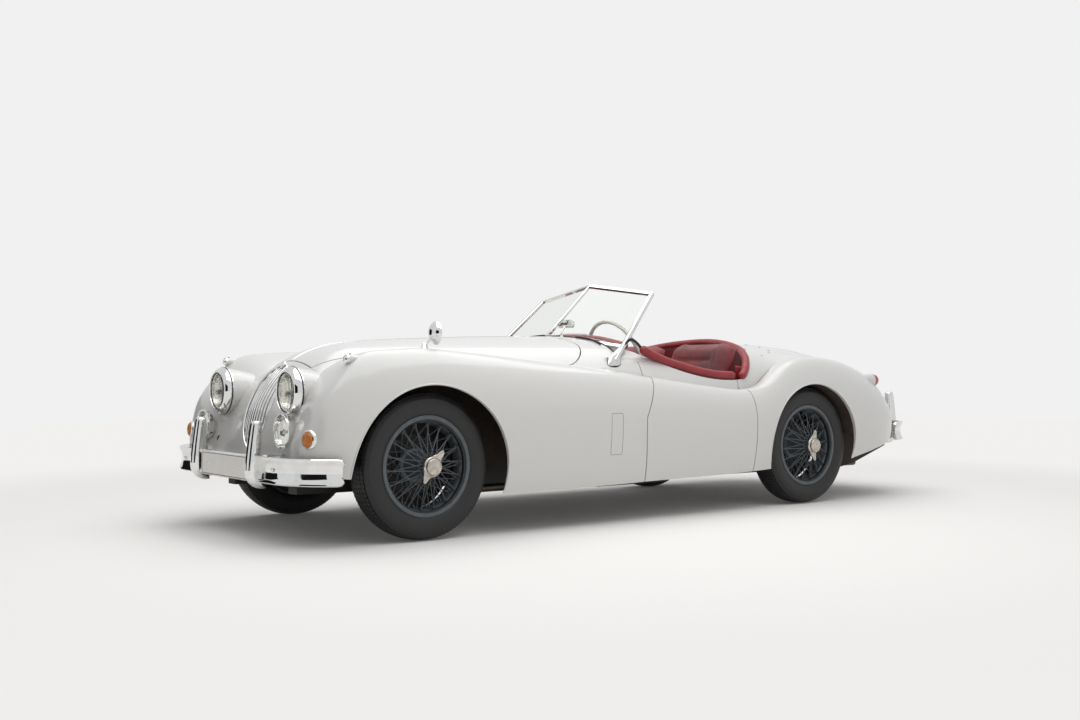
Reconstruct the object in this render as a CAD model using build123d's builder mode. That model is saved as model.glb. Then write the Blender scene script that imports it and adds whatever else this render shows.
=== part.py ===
from build123d import *
import os
from math import atan2, cos, degrees, radians, sin

# ---------------------------------------------------------------- driving dimensions
# A two-seat open roadster. X to the car's left, Y rearwards, Z up, millimetres.
# The origin is on the ground, in the middle of the overall length and width.
overall_length = 4470.0
body_width = 1638.0
wheelbase = 2591.0
front_overhang = 700.0
front_track = 1308.0
rear_track = 1305.0

tyre_radius = 338.0
tyre_width = 165.0
rim_radius = 222.0
rim_width = 132.0
spoke_diameter = 5.0
spoke_pairs = 18

panel_thickness = 18.0
door_thickness = 100.0
shut_gap = 6.0
fixed_gap = 0.6
running_clearance = 6.0
soft_clearance = 0.3

front_arch_radius = 400.0
front_arch_centre_z = 307.0
rear_arch_radius = 367.0
rear_arch_centre_z = 325.0

door_front_setback = 1264.0
door_rear_lead = 491.0
door_top_lean = 150.0
bonnet_front_lead = 325.0
bonnet_rear_setback = 1100.0
bonnet_front_half = 215.0
bonnet_rear_half = 565.0
bonnet_corner = 120.0
nose_half = 262.0
boot_front_setback = 330.0
boot_length = 640.0
boot_front_half = 395.0
boot_rear_half = 300.0

rail_height = 100.0
rail_width = 85.0
rail_half_spacing = 340.0
rail_bottom = 192.0
floor_thickness = 10.0
tunnel_height = 190.0
tunnel_half = 115.0

kingpin_inset = 125.0

steering_wheel_diameter = 432.0
steering_rim = 22.0
column_rake = 20.0

headlamp_radius = 117.0
headlamp_half_spacing = 387.0
headlamp_z = 676.0
headlamp_lead = 527.0

fog_radius = 72.0
seat_width = 455.0
roll_radius = 24.0

# ---------------------------------------------------------------- places
half_width = body_width / 2
front_axle_y = -overall_length / 2 + front_overhang
rear_axle_y = front_axle_y + wheelbase
nose_tip_y = -overall_length / 2
tail_tip_y = overall_length / 2
door_front_y = front_axle_y + door_front_setback
door_rear_y = rear_axle_y - door_rear_lead
bonnet_front_y = front_axle_y - bonnet_front_lead
bonnet_rear_y = front_axle_y + bonnet_rear_setback
boot_front_y = rear_axle_y + boot_front_setback
floor_z = rail_bottom + rail_height
kingpin_x = front_track / 2 - kingpin_inset

# Cross-sections of the outer body. Places along the car are taken from the axle or the door
# edge named; x columns are shares of the half width; z columns are heights above the ground.
# A section runs from the centre line over the shoulder to the valley beside the wing, over the
# wing's crown, down past its widest point to the sill.
# y, centre_z, shoulder_x, shoulder_z, valley_x, valley_z, crown_x, crown_z, side_x, side_z, sill_x, sill_z
body_sections = [
    (front_axle_y - 575, 368, 0.12, 367, 0.48, 372, 0.740, 470, 0.800, 430, 0.760, 335),
    (front_axle_y - 545, 385, 0.13, 384, 0.49, 410, 0.785, 570, 0.862, 455, 0.830, 322),
    (front_axle_y - 500, 575, 0.14, 565, 0.42, 530, 0.803, 665, 0.908, 470, 0.878, 312),
    (front_axle_y - 420, 735, 0.15, 722, 0.38, 680, 0.810, 757, 0.942, 482, 0.905, 303),
    (front_axle_y - 330, 818, 0.16, 805, 0.37, 748, 0.810, 832, 0.960, 495, 0.920, 292),
    (front_axle_y - 170, 892, 0.19, 878, 0.40, 794, 0.805, 867, 0.980, 510, 0.936, 260),
    (front_axle_y, 920, 0.21, 904, 0.44, 814, 0.800, 875, 0.990, 520, 0.943, 230),
    (front_axle_y + 200, 933, 0.25, 915, 0.49, 828, 0.800, 862, 0.994, 530, 0.943, 205),
    (front_axle_y + 400, 941, 0.28, 922, 0.54, 833, 0.800, 845, 0.995, 535, 0.941, 195),
    (front_axle_y + 600, 949, 0.32, 928, 0.60, 825, 0.800, 824, 0.994, 535, 0.939, 193),
    (front_axle_y + 850, 956, 0.37, 932, 0.67, 804, 0.805, 801, 0.991, 530, 0.936, 195),
    (front_axle_y + 1100, 962, 0.42, 935, 0.74, 780, 0.820, 776, 0.988, 520, 0.933, 197),
    (door_front_y, 965, 0.45, 935, 0.78, 758, 0.832, 754, 0.985, 515, 0.931, 200),
    (door_front_y + 236, 965, 0.50, 928, 0.808, 728, 0.850, 725, 0.982, 508, 0.931, 203),
    (door_front_y + 436, 965, 0.54, 920, 0.820, 700, 0.866, 698, 0.979, 500, 0.930, 205),
    (door_rear_y - 200, 960, 0.545, 915, 0.820, 678, 0.866, 677, 0.974, 490, 0.928, 208),
    (door_rear_y - 10, 955, 0.545, 912, 0.808, 667, 0.861, 669, 0.966, 480, 0.925, 213),
    (rear_axle_y - 341, 951, 0.543, 910, 0.781, 697, 0.855, 706, 0.966, 485, 0.924, 220),
    (rear_axle_y - 251, 948, 0.537, 906, 0.769, 752, 0.845, 762, 0.969, 500, 0.924, 225),
    (rear_axle_y - 161, 945, 0.525, 902, 0.751, 806, 0.838, 812, 0.972, 505, 0.924, 228),
    (rear_axle_y + 10, 940, 0.500, 893, 0.733, 845, 0.832, 848, 0.975, 505, 0.924, 235),
    (rear_axle_y + 240, 935, 0.464, 880, 0.714, 836, 0.820, 838, 0.970, 500, 0.918, 242),
    (rear_axle_y + 390, 922, 0.440, 868, 0.696, 811, 0.800, 813, 0.960, 500, 0.910, 248),
    (rear_axle_y + 580, 888, 0.403, 845, 0.665, 752, 0.770, 755, 0.936, 490, 0.890, 242),
    (rear_axle_y + 750, 838, 0.354, 798, 0.610, 669, 0.705, 672, 0.885, 470, 0.843, 255),
    (rear_axle_y + 850, 790, 0.318, 752, 0.550, 600, 0.640, 590, 0.820, 450, 0.782, 280),
    (rear_axle_y + 940, 732, 0.268, 700, 0.464, 545, 0.530, 530, 0.710, 420, 0.672, 310),
    (rear_axle_y + 1030, 645, 0.207, 615, 0.366, 500, 0.420, 480, 0.550, 400, 0.513, 340),
    (rear_axle_y + 1090, 540, 0.122, 520, 0.220, 450, 0.260, 440, 0.330, 400, 0.305, 360),
]


# ---------------------------------------------------------------- shared shapes
def body_loft(sections, inset, base_drop):
    """The body's outer form moved inwards by inset, its base lowered by base_drop."""
    first_y = sections[0][0] + inset
    last_y = sections[-1][0] - inset
    with BuildPart() as form:
        for row in sections:
            y, centre_z, shoulder_x, shoulder_z, valley_x, valley_z = row[:6]
            crown_x, crown_z, side_x, side_z, sill_x, sill_z = row[6:]
            station_y = min(max(y, first_y), last_y)
            with BuildSketch(Plane.XZ.offset(-station_y)):
                with BuildLine():
                    centre = (0, centre_z - inset)
                    shoulder = (shoulder_x * half_width, shoulder_z - inset)
                    valley = (valley_x * half_width - 0.3 * inset, valley_z - inset)
                    crown = (crown_x * half_width - 0.5 * inset, crown_z - inset)
                    side = (side_x * half_width - inset, side_z)
                    sill = (sill_x * half_width - inset, sill_z - base_drop)
                    top = TangentArc(centre, shoulder, tangent=(1, 0))
                    TangentArc(top @ 1, valley, tangent=top % 1)
                    TangentArc(crown, valley, tangent=(-1, 0))
                    EllipticalCenterArc(
                        (crown[0], side[1]), side[0] - crown[0], crown[1] - side[1], start_angle=0, arc_size=90
                    )
                    TangentArc(side, sill, tangent=(0, -1))
                    Line(sill, (0, sill[1]))
                    mirror(about=Plane.YZ)
                make_face()
        loft()
    return form.part


def plan_prism(outline, growth, low, high):
    """A plan outline, grown by growth, as an upright prism from low to high."""
    with BuildPart() as prism:
        with BuildSketch(Plane.XY.offset(low)):
            add(outline)
            if growth:
                offset(amount=growth, kind=Kind.INTERSECTION, mode=Mode.REPLACE)
        extrude(amount=high - low)
    return prism.part


def side_prism(outline, growth, inner_x, outer_x):
    """A side-view outline in (Y, Z), grown by growth, as a prism from inner_x to outer_x."""
    with BuildPart() as prism:
        with BuildSketch(Plane.YZ.offset(inner_x)):
            add(outline)
            if growth:
                offset(amount=growth, kind=Kind.INTERSECTION, mode=Mode.REPLACE)
        extrude(amount=outer_x - inner_x)
    return prism.part


def mirrored(part):
    """The same piece on the car's other side."""
    return mirror(part, about=Plane.YZ, mode=Mode.PRIVATE)


def save(part, name):
    """Label a finished piece and write its STEP file."""
    part.label = name
    export_step(part, f"parts/{name}.step")


def save_pair(left, name):
    """Write a left-hand piece and its mirror image."""
    save(left, f"{name}_left")
    save(mirrored(left), f"{name}_right")


os.makedirs("parts", exist_ok=True)

# ---------------------------------------------------------------- body shell
pod_length = 230.0
pod_back_radius = 70.0
with BuildPart() as lamp_pods:
    for side in (-1, 1):
        pod_plane = Plane(
            origin=(side * headlamp_half_spacing, front_axle_y - headlamp_lead + 20, headlamp_z),
            z_dir=(0, 1, 0),
        )
        with BuildSketch(pod_plane):
            Circle(headlamp_radius)
        with BuildSketch(pod_plane.offset(pod_length)):
            Circle(pod_back_radius)
        loft()
with BuildPart() as pod_hollows:
    for side in (-1, 1):
        hollow_plane = Plane(
            origin=(side * headlamp_half_spacing, front_axle_y - headlamp_lead + 19, headlamp_z),
            z_dir=(0, 1, 0),
        )
        with BuildSketch(hollow_plane):
            Circle(headlamp_radius - 12)
        with BuildSketch(hollow_plane.offset(pod_length)):
            Circle(pod_back_radius - 8)
        loft()

body_form = body_loft(body_sections, 0, 0)
body_hollow = body_loft(body_sections, panel_thickness, 80)

arch_inner_x = 500.0
arch_outer_x = half_width + 60
with BuildPart() as wheel_arches:
    for inner_x in (arch_inner_x, -arch_outer_x):
        with BuildSketch(Plane.YZ.offset(inner_x)):
            with Locations((front_axle_y, front_arch_centre_z)):
                Circle(front_arch_radius)
            with Locations((rear_axle_y, rear_arch_centre_z)):
                Circle(rear_arch_radius)
        extrude(amount=arch_outer_x - arch_inner_x)

# The cockpit opening seen from the side: a straight front edge, the dip along the door tops and
# the rise behind them.
cockpit_front_y = front_axle_y + 1340
cockpit_rear_y = rear_axle_y - 131
with BuildSketch(Plane.XY) as cockpit_side:
    with BuildLine():
        dip_front = Line((cockpit_front_y, 1300), (cockpit_front_y, 895))
        dip_fall = Line(dip_front @ 1, (door_front_y + 142, 868))
        dip_door = ThreePointArc(dip_fall @ 1, (door_rear_y - 400, 757), (door_rear_y, 720))
        dip_rear = Spline(
            dip_door @ 1,
            (rear_axle_y - 441, 737),
            (rear_axle_y - 390, 779),
            (rear_axle_y - 337, 832),
            (rear_axle_y - 296, 868),
            (rear_axle_y - 255, 893),
            tangents=(dip_door % 1, (1, 0.5)),
        )
        dip_rise = Line(dip_rear @ 1, (rear_axle_y - 240, 1300))
        Line(dip_rise @ 1, dip_front @ 0)
    make_face()
with BuildSketch(Plane.XY) as cockpit_plan:
    with BuildLine():
        plan_front = Line((0, door_rear_y), (590, door_rear_y))
        plan_corner = ThreePointArc(plan_front @ 1, (545, rear_axle_y - 337), (430, rear_axle_y - 262))
        ThreePointArc(plan_corner @ 1, (230, rear_axle_y - 184), (0, cockpit_rear_y))
        mirror(about=Plane.YZ)
    make_face()

# The lower edge of the body rises behind the rear wheels.
with BuildSketch(Plane.XY) as tail_rise:
    with BuildLine():
        Polyline(
            (rear_axle_y + 385, 100),
            (rear_axle_y + 385, 252),
            (rear_axle_y + 750, 326),
            (rear_axle_y + 1150, 392),
            (rear_axle_y + 1150, 100),
            close=True,
        )
    make_face()
tail_undercut = side_prism(tail_rise.sketch, 0, -half_width, half_width)

cockpit_dip = side_prism(cockpit_side.sketch, 0, -half_width, half_width)
cockpit_well = plan_prism(cockpit_plan.sketch, 0, 780, 1300)

# The grille's opening leans back with the nose.
grille_foot = (front_axle_y - 530, 392)
grille_head = (front_axle_y - 352, 806)
grille_lean = degrees(atan2(grille_head[0] - grille_foot[0], grille_head[1] - grille_foot[1]))
grille_height = ((grille_head[0] - grille_foot[0]) ** 2 + (grille_head[1] - grille_foot[1]) ** 2) ** 0.5
grille_half = 128.0
grille_plane = Plane(
    origin=(0, (grille_foot[0] + grille_head[0]) / 2, (grille_foot[1] + grille_head[1]) / 2),
    x_dir=(1, 0, 0),
    z_dir=(0, -cos(radians(grille_lean)), sin(radians(grille_lean))),
)
with BuildPart() as grille_hole:
    with BuildSketch(grille_plane.offset(-160)):
        Ellipse(grille_half, grille_height / 2)
    extrude(amount=320)

with BuildPart() as shell:
    add(body_form)
    add(lamp_pods.part)
    add(body_hollow, mode=Mode.SUBTRACT)
    add(pod_hollows.part, mode=Mode.SUBTRACT)
    add(wheel_arches.part, mode=Mode.SUBTRACT)
    add(cockpit_dip, mode=Mode.SUBTRACT)
    add(cockpit_well, mode=Mode.SUBTRACT)
    add(tail_undercut, mode=Mode.SUBTRACT)
    add(grille_hole.part, mode=Mode.SUBTRACT)

# ---------------------------------------------------------------- outlines where panels meet
with BuildSketch(Plane.XY) as bonnet_outline:
    with BuildLine():
        edge_front = Line((0, bonnet_front_y), (bonnet_front_half, bonnet_front_y))
        edge_side = ThreePointArc(
            edge_front @ 1, (420, front_axle_y + 300), (bonnet_rear_half, bonnet_rear_y - 1.6 * bonnet_corner)
        )
        edge_corner = TangentArc(
            edge_side @ 1, (bonnet_rear_half - bonnet_corner, bonnet_rear_y), tangent=edge_side % 1
        )
        Line(edge_corner @ 1, (0, bonnet_rear_y))
        mirror(about=Plane.YZ)
    make_face()

with BuildSketch(Plane.XY) as nose_outline:
    with Locations((0, (nose_tip_y + bonnet_front_y) / 2)):
        Rectangle(2 * nose_half, bonnet_front_y - nose_tip_y)

# The line where the upper body meets the front wing's valley and, further back, the rear wing.
with BuildSketch(Plane.XY) as scuttle_outline:
    with BuildLine():
        Polyline(
            (0, bonnet_rear_y - 330),
            (0.66 * half_width, bonnet_rear_y - 330),
            (0.745 * half_width, front_axle_y + 1100),
            (0.785 * half_width, door_front_y),
            (0.815 * half_width, door_front_y + 320),
            (0, door_front_y + 320),
        )
        mirror(about=Plane.YZ)
    make_face()

with BuildSketch(Plane.XY) as rear_upper_outline:
    with BuildLine():
        Polyline(
            (0, door_rear_y - 60),
            (0.808 * half_width, door_rear_y - 60),
            (0.808 * half_width, door_rear_y),
            (0.781 * half_width, rear_axle_y - 341),
            (0.751 * half_width, rear_axle_y - 161),
            (0.714 * half_width, rear_axle_y + 240),
            (0.665 * half_width, rear_axle_y + 580),
            (0.550 * half_width, rear_axle_y + 850),
            (0.366 * half_width, rear_axle_y + 1030),
            (0.25 * half_width, tail_tip_y),
            (0, tail_tip_y),
        )
        mirror(about=Plane.YZ)
    make_face()

tail_split_y = boot_front_y + boot_length - 120
with BuildSketch(Plane.XY) as tail_outline:
    with Locations((0, (tail_split_y + tail_tip_y) / 2)):
        Rectangle(2 * half_width, tail_tip_y - tail_split_y)

with BuildSketch(Plane.XY) as boot_outline:
    with BuildLine():
        boot_front = ThreePointArc(
            (-boot_front_half, boot_front_y + 45), (0, boot_front_y), (boot_front_half, boot_front_y + 45)
        )
        Line(boot_front @ 1, (boot_rear_half, boot_front_y + boot_length))
        Line((boot_rear_half, boot_front_y + boot_length), (-boot_rear_half, boot_front_y + boot_length))
        Line((-boot_rear_half, boot_front_y + boot_length), boot_front @ 0)
    make_face()
    fillet(boot_outline.vertices(), 55)

# The door in side view: its front edge leans back above the crease, its rear edge is upright.
crease_z = 735.0
hinge_z = 490.0
with BuildSketch(Plane.XY) as door_side:
    with BuildLine():
        Polyline(
            (door_front_y + 26, 120),
            (door_front_y, hinge_z - 60),
            (door_front_y, hinge_z + 40),
            (door_front_y + 0.7 * door_top_lean, crease_z),
            (door_front_y + door_top_lean, 1000),
            (door_rear_y, 1000),
            (door_rear_y, 120),
            close=True,
        )
    make_face()

# In plan the door's rear edge runs forward as it goes in, so that it swings clear.
door_rear_rake = 34.0
door_inner_x = 640.0
with BuildSketch(Plane.XY) as door_rear_wedge:
    with BuildLine():
        Polyline(
            (half_width, door_rear_y),
            (door_inner_x - 60, door_rear_y - door_rear_rake * (half_width - door_inner_x + 60) / 240),
            (door_inner_x - 60, door_rear_y + 80),
            (half_width, door_rear_y + 80),
            close=True,
        )
    make_face()


def door_zone(growth):
    """The left door's space, its edges moved out by growth."""
    face = side_prism(door_side.sketch, growth, door_inner_x - 40, half_width + 40)
    wedge = plan_prism(door_rear_wedge.sketch, -growth, 60, 1060)
    with BuildPart() as zone:
        add(face)
        add(wedge, mode=Mode.SUBTRACT)
    return zone.part


def common(part, space):
    """What a part and a space share."""
    with BuildPart() as piece:
        add(part)
        add(space, mode=Mode.INTERSECT)
    return piece.part


def without(part, *spaces):
    """A part with spaces cut out of it."""
    with BuildPart() as piece:
        add(part)
        for space in spaces:
            add(space, mode=Mode.SUBTRACT)
    return piece.part


# ---------------------------------------------------------------- body panels
panel_low = 60.0
panel_high = 1100.0
bonnet_low = 640.0
boot_low = 500.0
middle_y = (door_front_y + door_rear_y) / 2
wing_inner_x = 180.0

bonnet = common(shell.part, plan_prism(bonnet_outline.sketch, -shut_gap / 2, bonnet_low, panel_high))
save(bonnet, "bonnet")
boot_lid = common(shell.part, plan_prism(boot_outline.sketch, -shut_gap / 2, boot_low, panel_high))
save(boot_lid, "boot_lid")

door_cutter = door_zone(shut_gap / 2)
fixed_shell = without(
    shell.part,
    plan_prism(bonnet_outline.sketch, shut_gap / 2, bonnet_low, panel_high),
    plan_prism(boot_outline.sketch, shut_gap / 2, boot_low, panel_high),
    door_cutter,
    mirrored(door_cutter),
)
nose_panel = common(fixed_shell, plan_prism(nose_outline.sketch, 0, panel_low, panel_high))
save(nose_panel, "nose_panel")
scuttle_low = 600.0
scuttle = common(fixed_shell, plan_prism(scuttle_outline.sketch, 0, scuttle_low, panel_high))
save(scuttle, "scuttle")

with BuildPart() as front_left_space:
    with BuildSketch(Plane.XY.offset(panel_low)):
        with Locations((half_width, (nose_tip_y + middle_y) / 2)):
            Rectangle(2 * (half_width - wing_inner_x), middle_y - nose_tip_y)
    extrude(amount=panel_high)
front_wing = without(
    common(fixed_shell, front_left_space.part),
    plan_prism(nose_outline.sketch, fixed_gap, panel_low - 10, panel_high + 10),
    plan_prism(scuttle_outline.sketch, fixed_gap, scuttle_low - 10, panel_high),
)
save_pair(front_wing, "front_wing")

with BuildPart() as rear_left_space:
    with BuildSketch(Plane.XY.offset(panel_low)):
        with Locations((half_width, (middle_y + tail_tip_y) / 2)):
            Rectangle(2 * (half_width - wing_inner_x), tail_tip_y - middle_y)
    extrude(amount=panel_high)
rear_wing = without(
    common(fixed_shell, rear_left_space.part),
    plan_prism(rear_upper_outline.sketch, fixed_gap, panel_low - 10, panel_high + 10),
)
save_pair(rear_wing, "rear_wing")

rear_upper = common(fixed_shell, plan_prism(rear_upper_outline.sketch, 0, panel_low, panel_high))
save(common(rear_upper, plan_prism(tail_outline.sketch, 0, panel_low, panel_high)), "tail_panel")
save(without(rear_upper, plan_prism(tail_outline.sketch, fixed_gap, panel_low, panel_high)), "rear_deck")

door_rows = body_sections[11:19]
door = common(
    without(
        body_loft(door_rows, 0, 0),
        body_loft(door_rows, door_thickness, 80),
        cockpit_dip,
    ),
    door_zone(-shut_gap / 2),
)
save_pair(door, "door")

# ---------------------------------------------------------------- inner body
trim_face_x = half_width - 150
bulkhead_y = front_axle_y + 830
bulkhead_thickness = 8.0
heel_board_y = rear_axle_y - 462
divider_y = rear_axle_y - 150
boot_floor_z = 505.0
sheet = 6.0

with BuildPart() as floor_pan:
    with BuildSketch(Plane.XZ.offset(-bulkhead_y - bulkhead_thickness)):
        with BuildLine():
            Polyline(
                (-trim_face_x, floor_z),
                (-tunnel_half, floor_z),
                (-tunnel_half + 20, floor_z + tunnel_height),
                (tunnel_half - 20, floor_z + tunnel_height),
                (tunnel_half, floor_z),
                (trim_face_x, floor_z),
                (trim_face_x, floor_z + floor_thickness),
                (tunnel_half + 8, floor_z + floor_thickness),
                (tunnel_half - 12, floor_z + tunnel_height + floor_thickness),
                (-tunnel_half + 12, floor_z + tunnel_height + floor_thickness),
                (-tunnel_half - 8, floor_z + floor_thickness),
                (-trim_face_x, floor_z + floor_thickness),
                close=True,
            )
        make_face()
    extrude(amount=-(heel_board_y - bulkhead_y - bulkhead_thickness))
save(floor_pan.part, "floor_pan")

with BuildPart() as bulkhead_plate:
    with BuildSketch(Plane.XZ.offset(-bulkhead_y)):
        with BuildLine():
            Polyline(
                (0, floor_z - 60), (200, floor_z - 60), (200, floor_z), (half_width, floor_z),
                (half_width, 1000), (0, 1000),
            )
            mirror(about=Plane.YZ)
        make_face()
    extrude(amount=-bulkhead_thickness)
under_bonnet = plan_prism(bonnet_outline.sketch, shut_gap, bonnet_low, panel_high)
bonnet_clearance = 12.0
body_clear = body_loft(body_sections, panel_thickness + bonnet_clearance, 80)
bulkhead_sides = without(common(bulkhead_plate.part, body_hollow), under_bonnet)
bulkhead_top = common(common(bulkhead_plate.part, body_clear), under_bonnet)
with BuildPart() as bulkhead:
    add(bulkhead_sides)
    add(bulkhead_top)
save(bulkhead.part, "bulkhead")

inner_wing_x = 378.0
closing_y = front_axle_y - front_arch_radius - 36
with BuildPart() as closing_plates:
    for side in (-1, 1):
        with BuildSketch(Plane.XZ.offset(-closing_y)):
            with Locations((side * (inner_wing_x + sheet + 300), 620)):
                Rectangle(600, 2 * (620 - floor_z - 26))
        extrude(amount=-sheet)
closing_shape = without(common(closing_plates.part, body_hollow), lamp_pods.part)
with BuildPart() as inner_wings:
    add(closing_shape)
    for side in (-1, 1):
        with BuildSketch(Plane.XY.offset(floor_z)):
            with Locations((side * (inner_wing_x + sheet / 2), (front_axle_y - 262 + bulkhead_y) / 2)):
                Rectangle(sheet, bulkhead_y - front_axle_y + 262)
        extrude(amount=463)
save(inner_wings.part, "inner_wings")

# Boot floor, the wall behind the seats and the covers over the rear wheels.
wheelhouse_inner_x = 508.0
wheelhouse_outer_x = 790.0
wheelhouse_radius = tyre_radius + 2.5 * running_clearance
wheelhouse_low = floor_z + 100
shaft_z = floor_z + 40
shaft_radius = 38.0
with BuildPart() as wheelhouse_covers:
    for inner_x, outer_x in (
        (wheelhouse_inner_x, wheelhouse_outer_x),
        (-wheelhouse_outer_x, -wheelhouse_inner_x),
    ):
        with BuildSketch(Plane.YZ.offset(inner_x)):
            with Locations((rear_axle_y, tyre_radius)):
                Circle(wheelhouse_radius + sheet)
                Circle(wheelhouse_radius, mode=Mode.SUBTRACT)
            with Locations((rear_axle_y, wheelhouse_low - 500)):
                Rectangle(1000, 1000, mode=Mode.SUBTRACT)
        extrude(amount=outer_x - inner_x)
wheelhouse_shape = common(wheelhouse_covers.part, body_hollow)

with BuildPart() as divider_plate:
    with BuildSketch(Plane.XZ.offset(-divider_y)):
        with BuildLine():
            Polyline(
                (0, boot_floor_z),
                (wheelhouse_inner_x, boot_floor_z),
                (wheelhouse_inner_x, 700),
                (640, 720),
                (640, 1000),
                (0, 1000),
            )
            mirror(about=Plane.YZ)
        make_face()
    extrude(amount=-sheet)
divider_shape = common(divider_plate.part, body_clear)

with BuildPart() as rear_floor:
    add(wheelhouse_shape)
    add(divider_shape)
    with BuildSketch(Plane.XZ.offset(-heel_board_y)):
        with Locations((0, (floor_z + boot_floor_z + sheet) / 2)):
            Rectangle(2 * wheelhouse_inner_x, boot_floor_z + sheet - floor_z)
        with Locations((0, shaft_z)):
            Circle(shaft_radius + 12, mode=Mode.SUBTRACT)
    extrude(amount=-sheet)
    with BuildSketch(Plane.XY.offset(boot_floor_z)):
        with BuildLine():
            Polyline(
                (-wheelhouse_inner_x, heel_board_y),
                (-wheelhouse_inner_x, rear_axle_y + 400),
                (-400, rear_axle_y + 740),
                (-300, rear_axle_y + 860),
                (300, rear_axle_y + 860),
                (400, rear_axle_y + 740),
                (wheelhouse_inner_x, rear_axle_y + 400),
                (wheelhouse_inner_x, heel_board_y),
                close=True,
            )
        make_face()
    extrude(amount=sheet)
    for inner_x in (wheelhouse_inner_x, -wheelhouse_inner_x - sheet):
        with BuildSketch(Plane.YZ.offset(inner_x)):
            with Locations((rear_axle_y, tyre_radius)):
                Circle(wheelhouse_radius + sheet)
            with Locations((rear_axle_y, wheelhouse_low - 500)):
                Rectangle(1000, 1000, mode=Mode.SUBTRACT)
        extrude(amount=sheet)
save(rear_floor.part, "rear_floor")

# Trim beside the footwells and beside the shelf behind the seats.
quarter_x = 600.0
with BuildPart() as side_trim_plates:
    for inner_x in (quarter_x, -quarter_x - sheet):
        with BuildSketch(Plane.YZ.offset(inner_x)):
            with BuildLine():
                Polyline(
                    (door_rear_y + 14, floor_z + floor_thickness),
                    (divider_y, floor_z + floor_thickness),
                    (divider_y, 1000),
                    (door_rear_y + 14, 1000),
                    close=True,
                )
            make_face()
            with Locations((rear_axle_y, tyre_radius)):
                Circle(wheelhouse_radius + sheet, mode=Mode.SUBTRACT)
        extrude(amount=sheet)
    for inner_x in (trim_face_x - sheet, -trim_face_x):
        with BuildSketch(Plane.YZ.offset(inner_x)):
            with BuildLine():
                Polyline(
                    (bulkhead_y + bulkhead_thickness, floor_z + floor_thickness),
                    (door_front_y - 12, floor_z + floor_thickness),
                    (door_front_y - 12, 690),
                    (bulkhead_y + bulkhead_thickness, 720),
                    close=True,
                )
            make_face()
        extrude(amount=sheet)

# ---------------------------------------------------------------- chassis and running gear
cross_tube_radius = 32.0
cross_tube_z = rail_bottom + rail_height / 2 + 12
front_cross_y = front_axle_y - 380
middle_cross_y = front_axle_y + 980
seat_cross_y = rear_axle_y - 620
cross_tube_places = (front_cross_y, middle_cross_y, seat_cross_y)
rear_cross_y = rear_axle_y + 880
rear_tube_places = (rear_axle_y + 430, rear_cross_y)
rear_tube_z = 342.0
rail_rise = 205.0
front_rail_end_y = front_axle_y - 480
rear_rail_end_y = rear_axle_y + 900
rear_rail_low = rail_bottom + 105
with BuildPart() as chassis_frame:
    for side in (-1, 1):
        with BuildSketch(Plane.YZ.offset(side * rail_half_spacing - rail_width / 2)):
            with BuildLine():
                Polyline(
                    (front_rail_end_y, rail_bottom + 20),
                    (rear_axle_y - 430, rail_bottom),
                    (rear_axle_y - 150, rail_bottom + rail_rise),
                    (rear_axle_y + 170, rail_bottom + rail_rise),
                    (rear_axle_y + 380, rear_rail_low),
                    (rear_rail_end_y, rear_rail_low),
                    (rear_rail_end_y, rear_rail_low + 80),
                    (rear_axle_y + 400, rear_rail_low + 90),
                    (rear_axle_y + 190, rail_bottom + rail_rise + rail_height - 5),
                    (rear_axle_y - 175, rail_bottom + rail_rise + rail_height - 5),
                    (rear_axle_y - 450, rail_bottom + rail_height),
                    (front_rail_end_y, rail_bottom + rail_height),
                    close=True,
                )
            make_face()
        extrude(amount=rail_width)
    for places, height in ((cross_tube_places, cross_tube_z), (rear_tube_places, rear_tube_z)):
        with BuildSketch(Plane.YZ.offset(-rail_half_spacing)):
            for place in places:
                with Locations((place, height)):
                    Circle(cross_tube_radius)
        extrude(amount=2 * rail_half_spacing)
save(chassis_frame.part, "chassis_frame")

rail_inner_x = rail_half_spacing - rail_width / 2
rail_outer_x = rail_half_spacing + rail_width / 2
engine_half = 205.0
engine_bottom = rail_bottom + 20
engine_front_y = front_axle_y - 60
engine_rear_y = bulkhead_y - 40
with BuildPart() as engine_block:
    with BuildSketch(Plane.XY.offset(engine_bottom)):
        with Locations((0, (engine_front_y + engine_rear_y) / 2)):
            Rectangle(2 * engine_half, engine_rear_y - engine_front_y)
    extrude(amount=600)
    chamfer(engine_block.edges().filter_by(Axis.Y), 60)
    with BuildSketch(Plane.XY.offset(rail_bottom + 35)):
        with Locations((0, front_axle_y + 180)):
            Rectangle(2 * rail_inner_x, 90)
    extrude(amount=45)
save(engine_block.part, "engine_block")

gearbox_length = 560.0
gearbox_bottom = cross_tube_z + cross_tube_radius
diff_radius = 125.0
with BuildPart() as driveline:
    with BuildSketch(Plane.XZ.offset(-bulkhead_y - bulkhead_thickness - soft_clearance)):
        with Locations((0, gearbox_bottom + 85)):
            RectangleRounded(160, 170, 40)
    extrude(amount=-gearbox_length)
    with BuildSketch(Plane.XZ.offset(-bulkhead_y - gearbox_length)):
        with Locations((0, shaft_z)):
            Circle(shaft_radius)
    extrude(amount=-(rear_axle_y - diff_radius - soft_clearance - bulkhead_y - gearbox_length))
save(driveline.part, "driveline")

radiator_depth = 70.0
with BuildPart() as radiator:
    with BuildSketch(Plane.XY.offset(rail_bottom + rail_height)):
        with Locations((0, front_axle_y - 190)):
            Rectangle(620, radiator_depth)
    extrude(amount=470)
    fillet(radiator.edges().filter_by(Axis.Y).group_by(Axis.Z)[-1], 60)
save(radiator.part, "radiator")

with BuildPart() as fuel_tank:
    with BuildSketch(Plane.XY.offset(rear_tube_z - 12)):
        with Locations((0, rear_axle_y + 655)):
            RectangleRounded(560, 340, 40)
    extrude(amount=boot_floor_z - rear_tube_z + 12)
save(fuel_tank.part, "fuel_tank")

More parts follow.
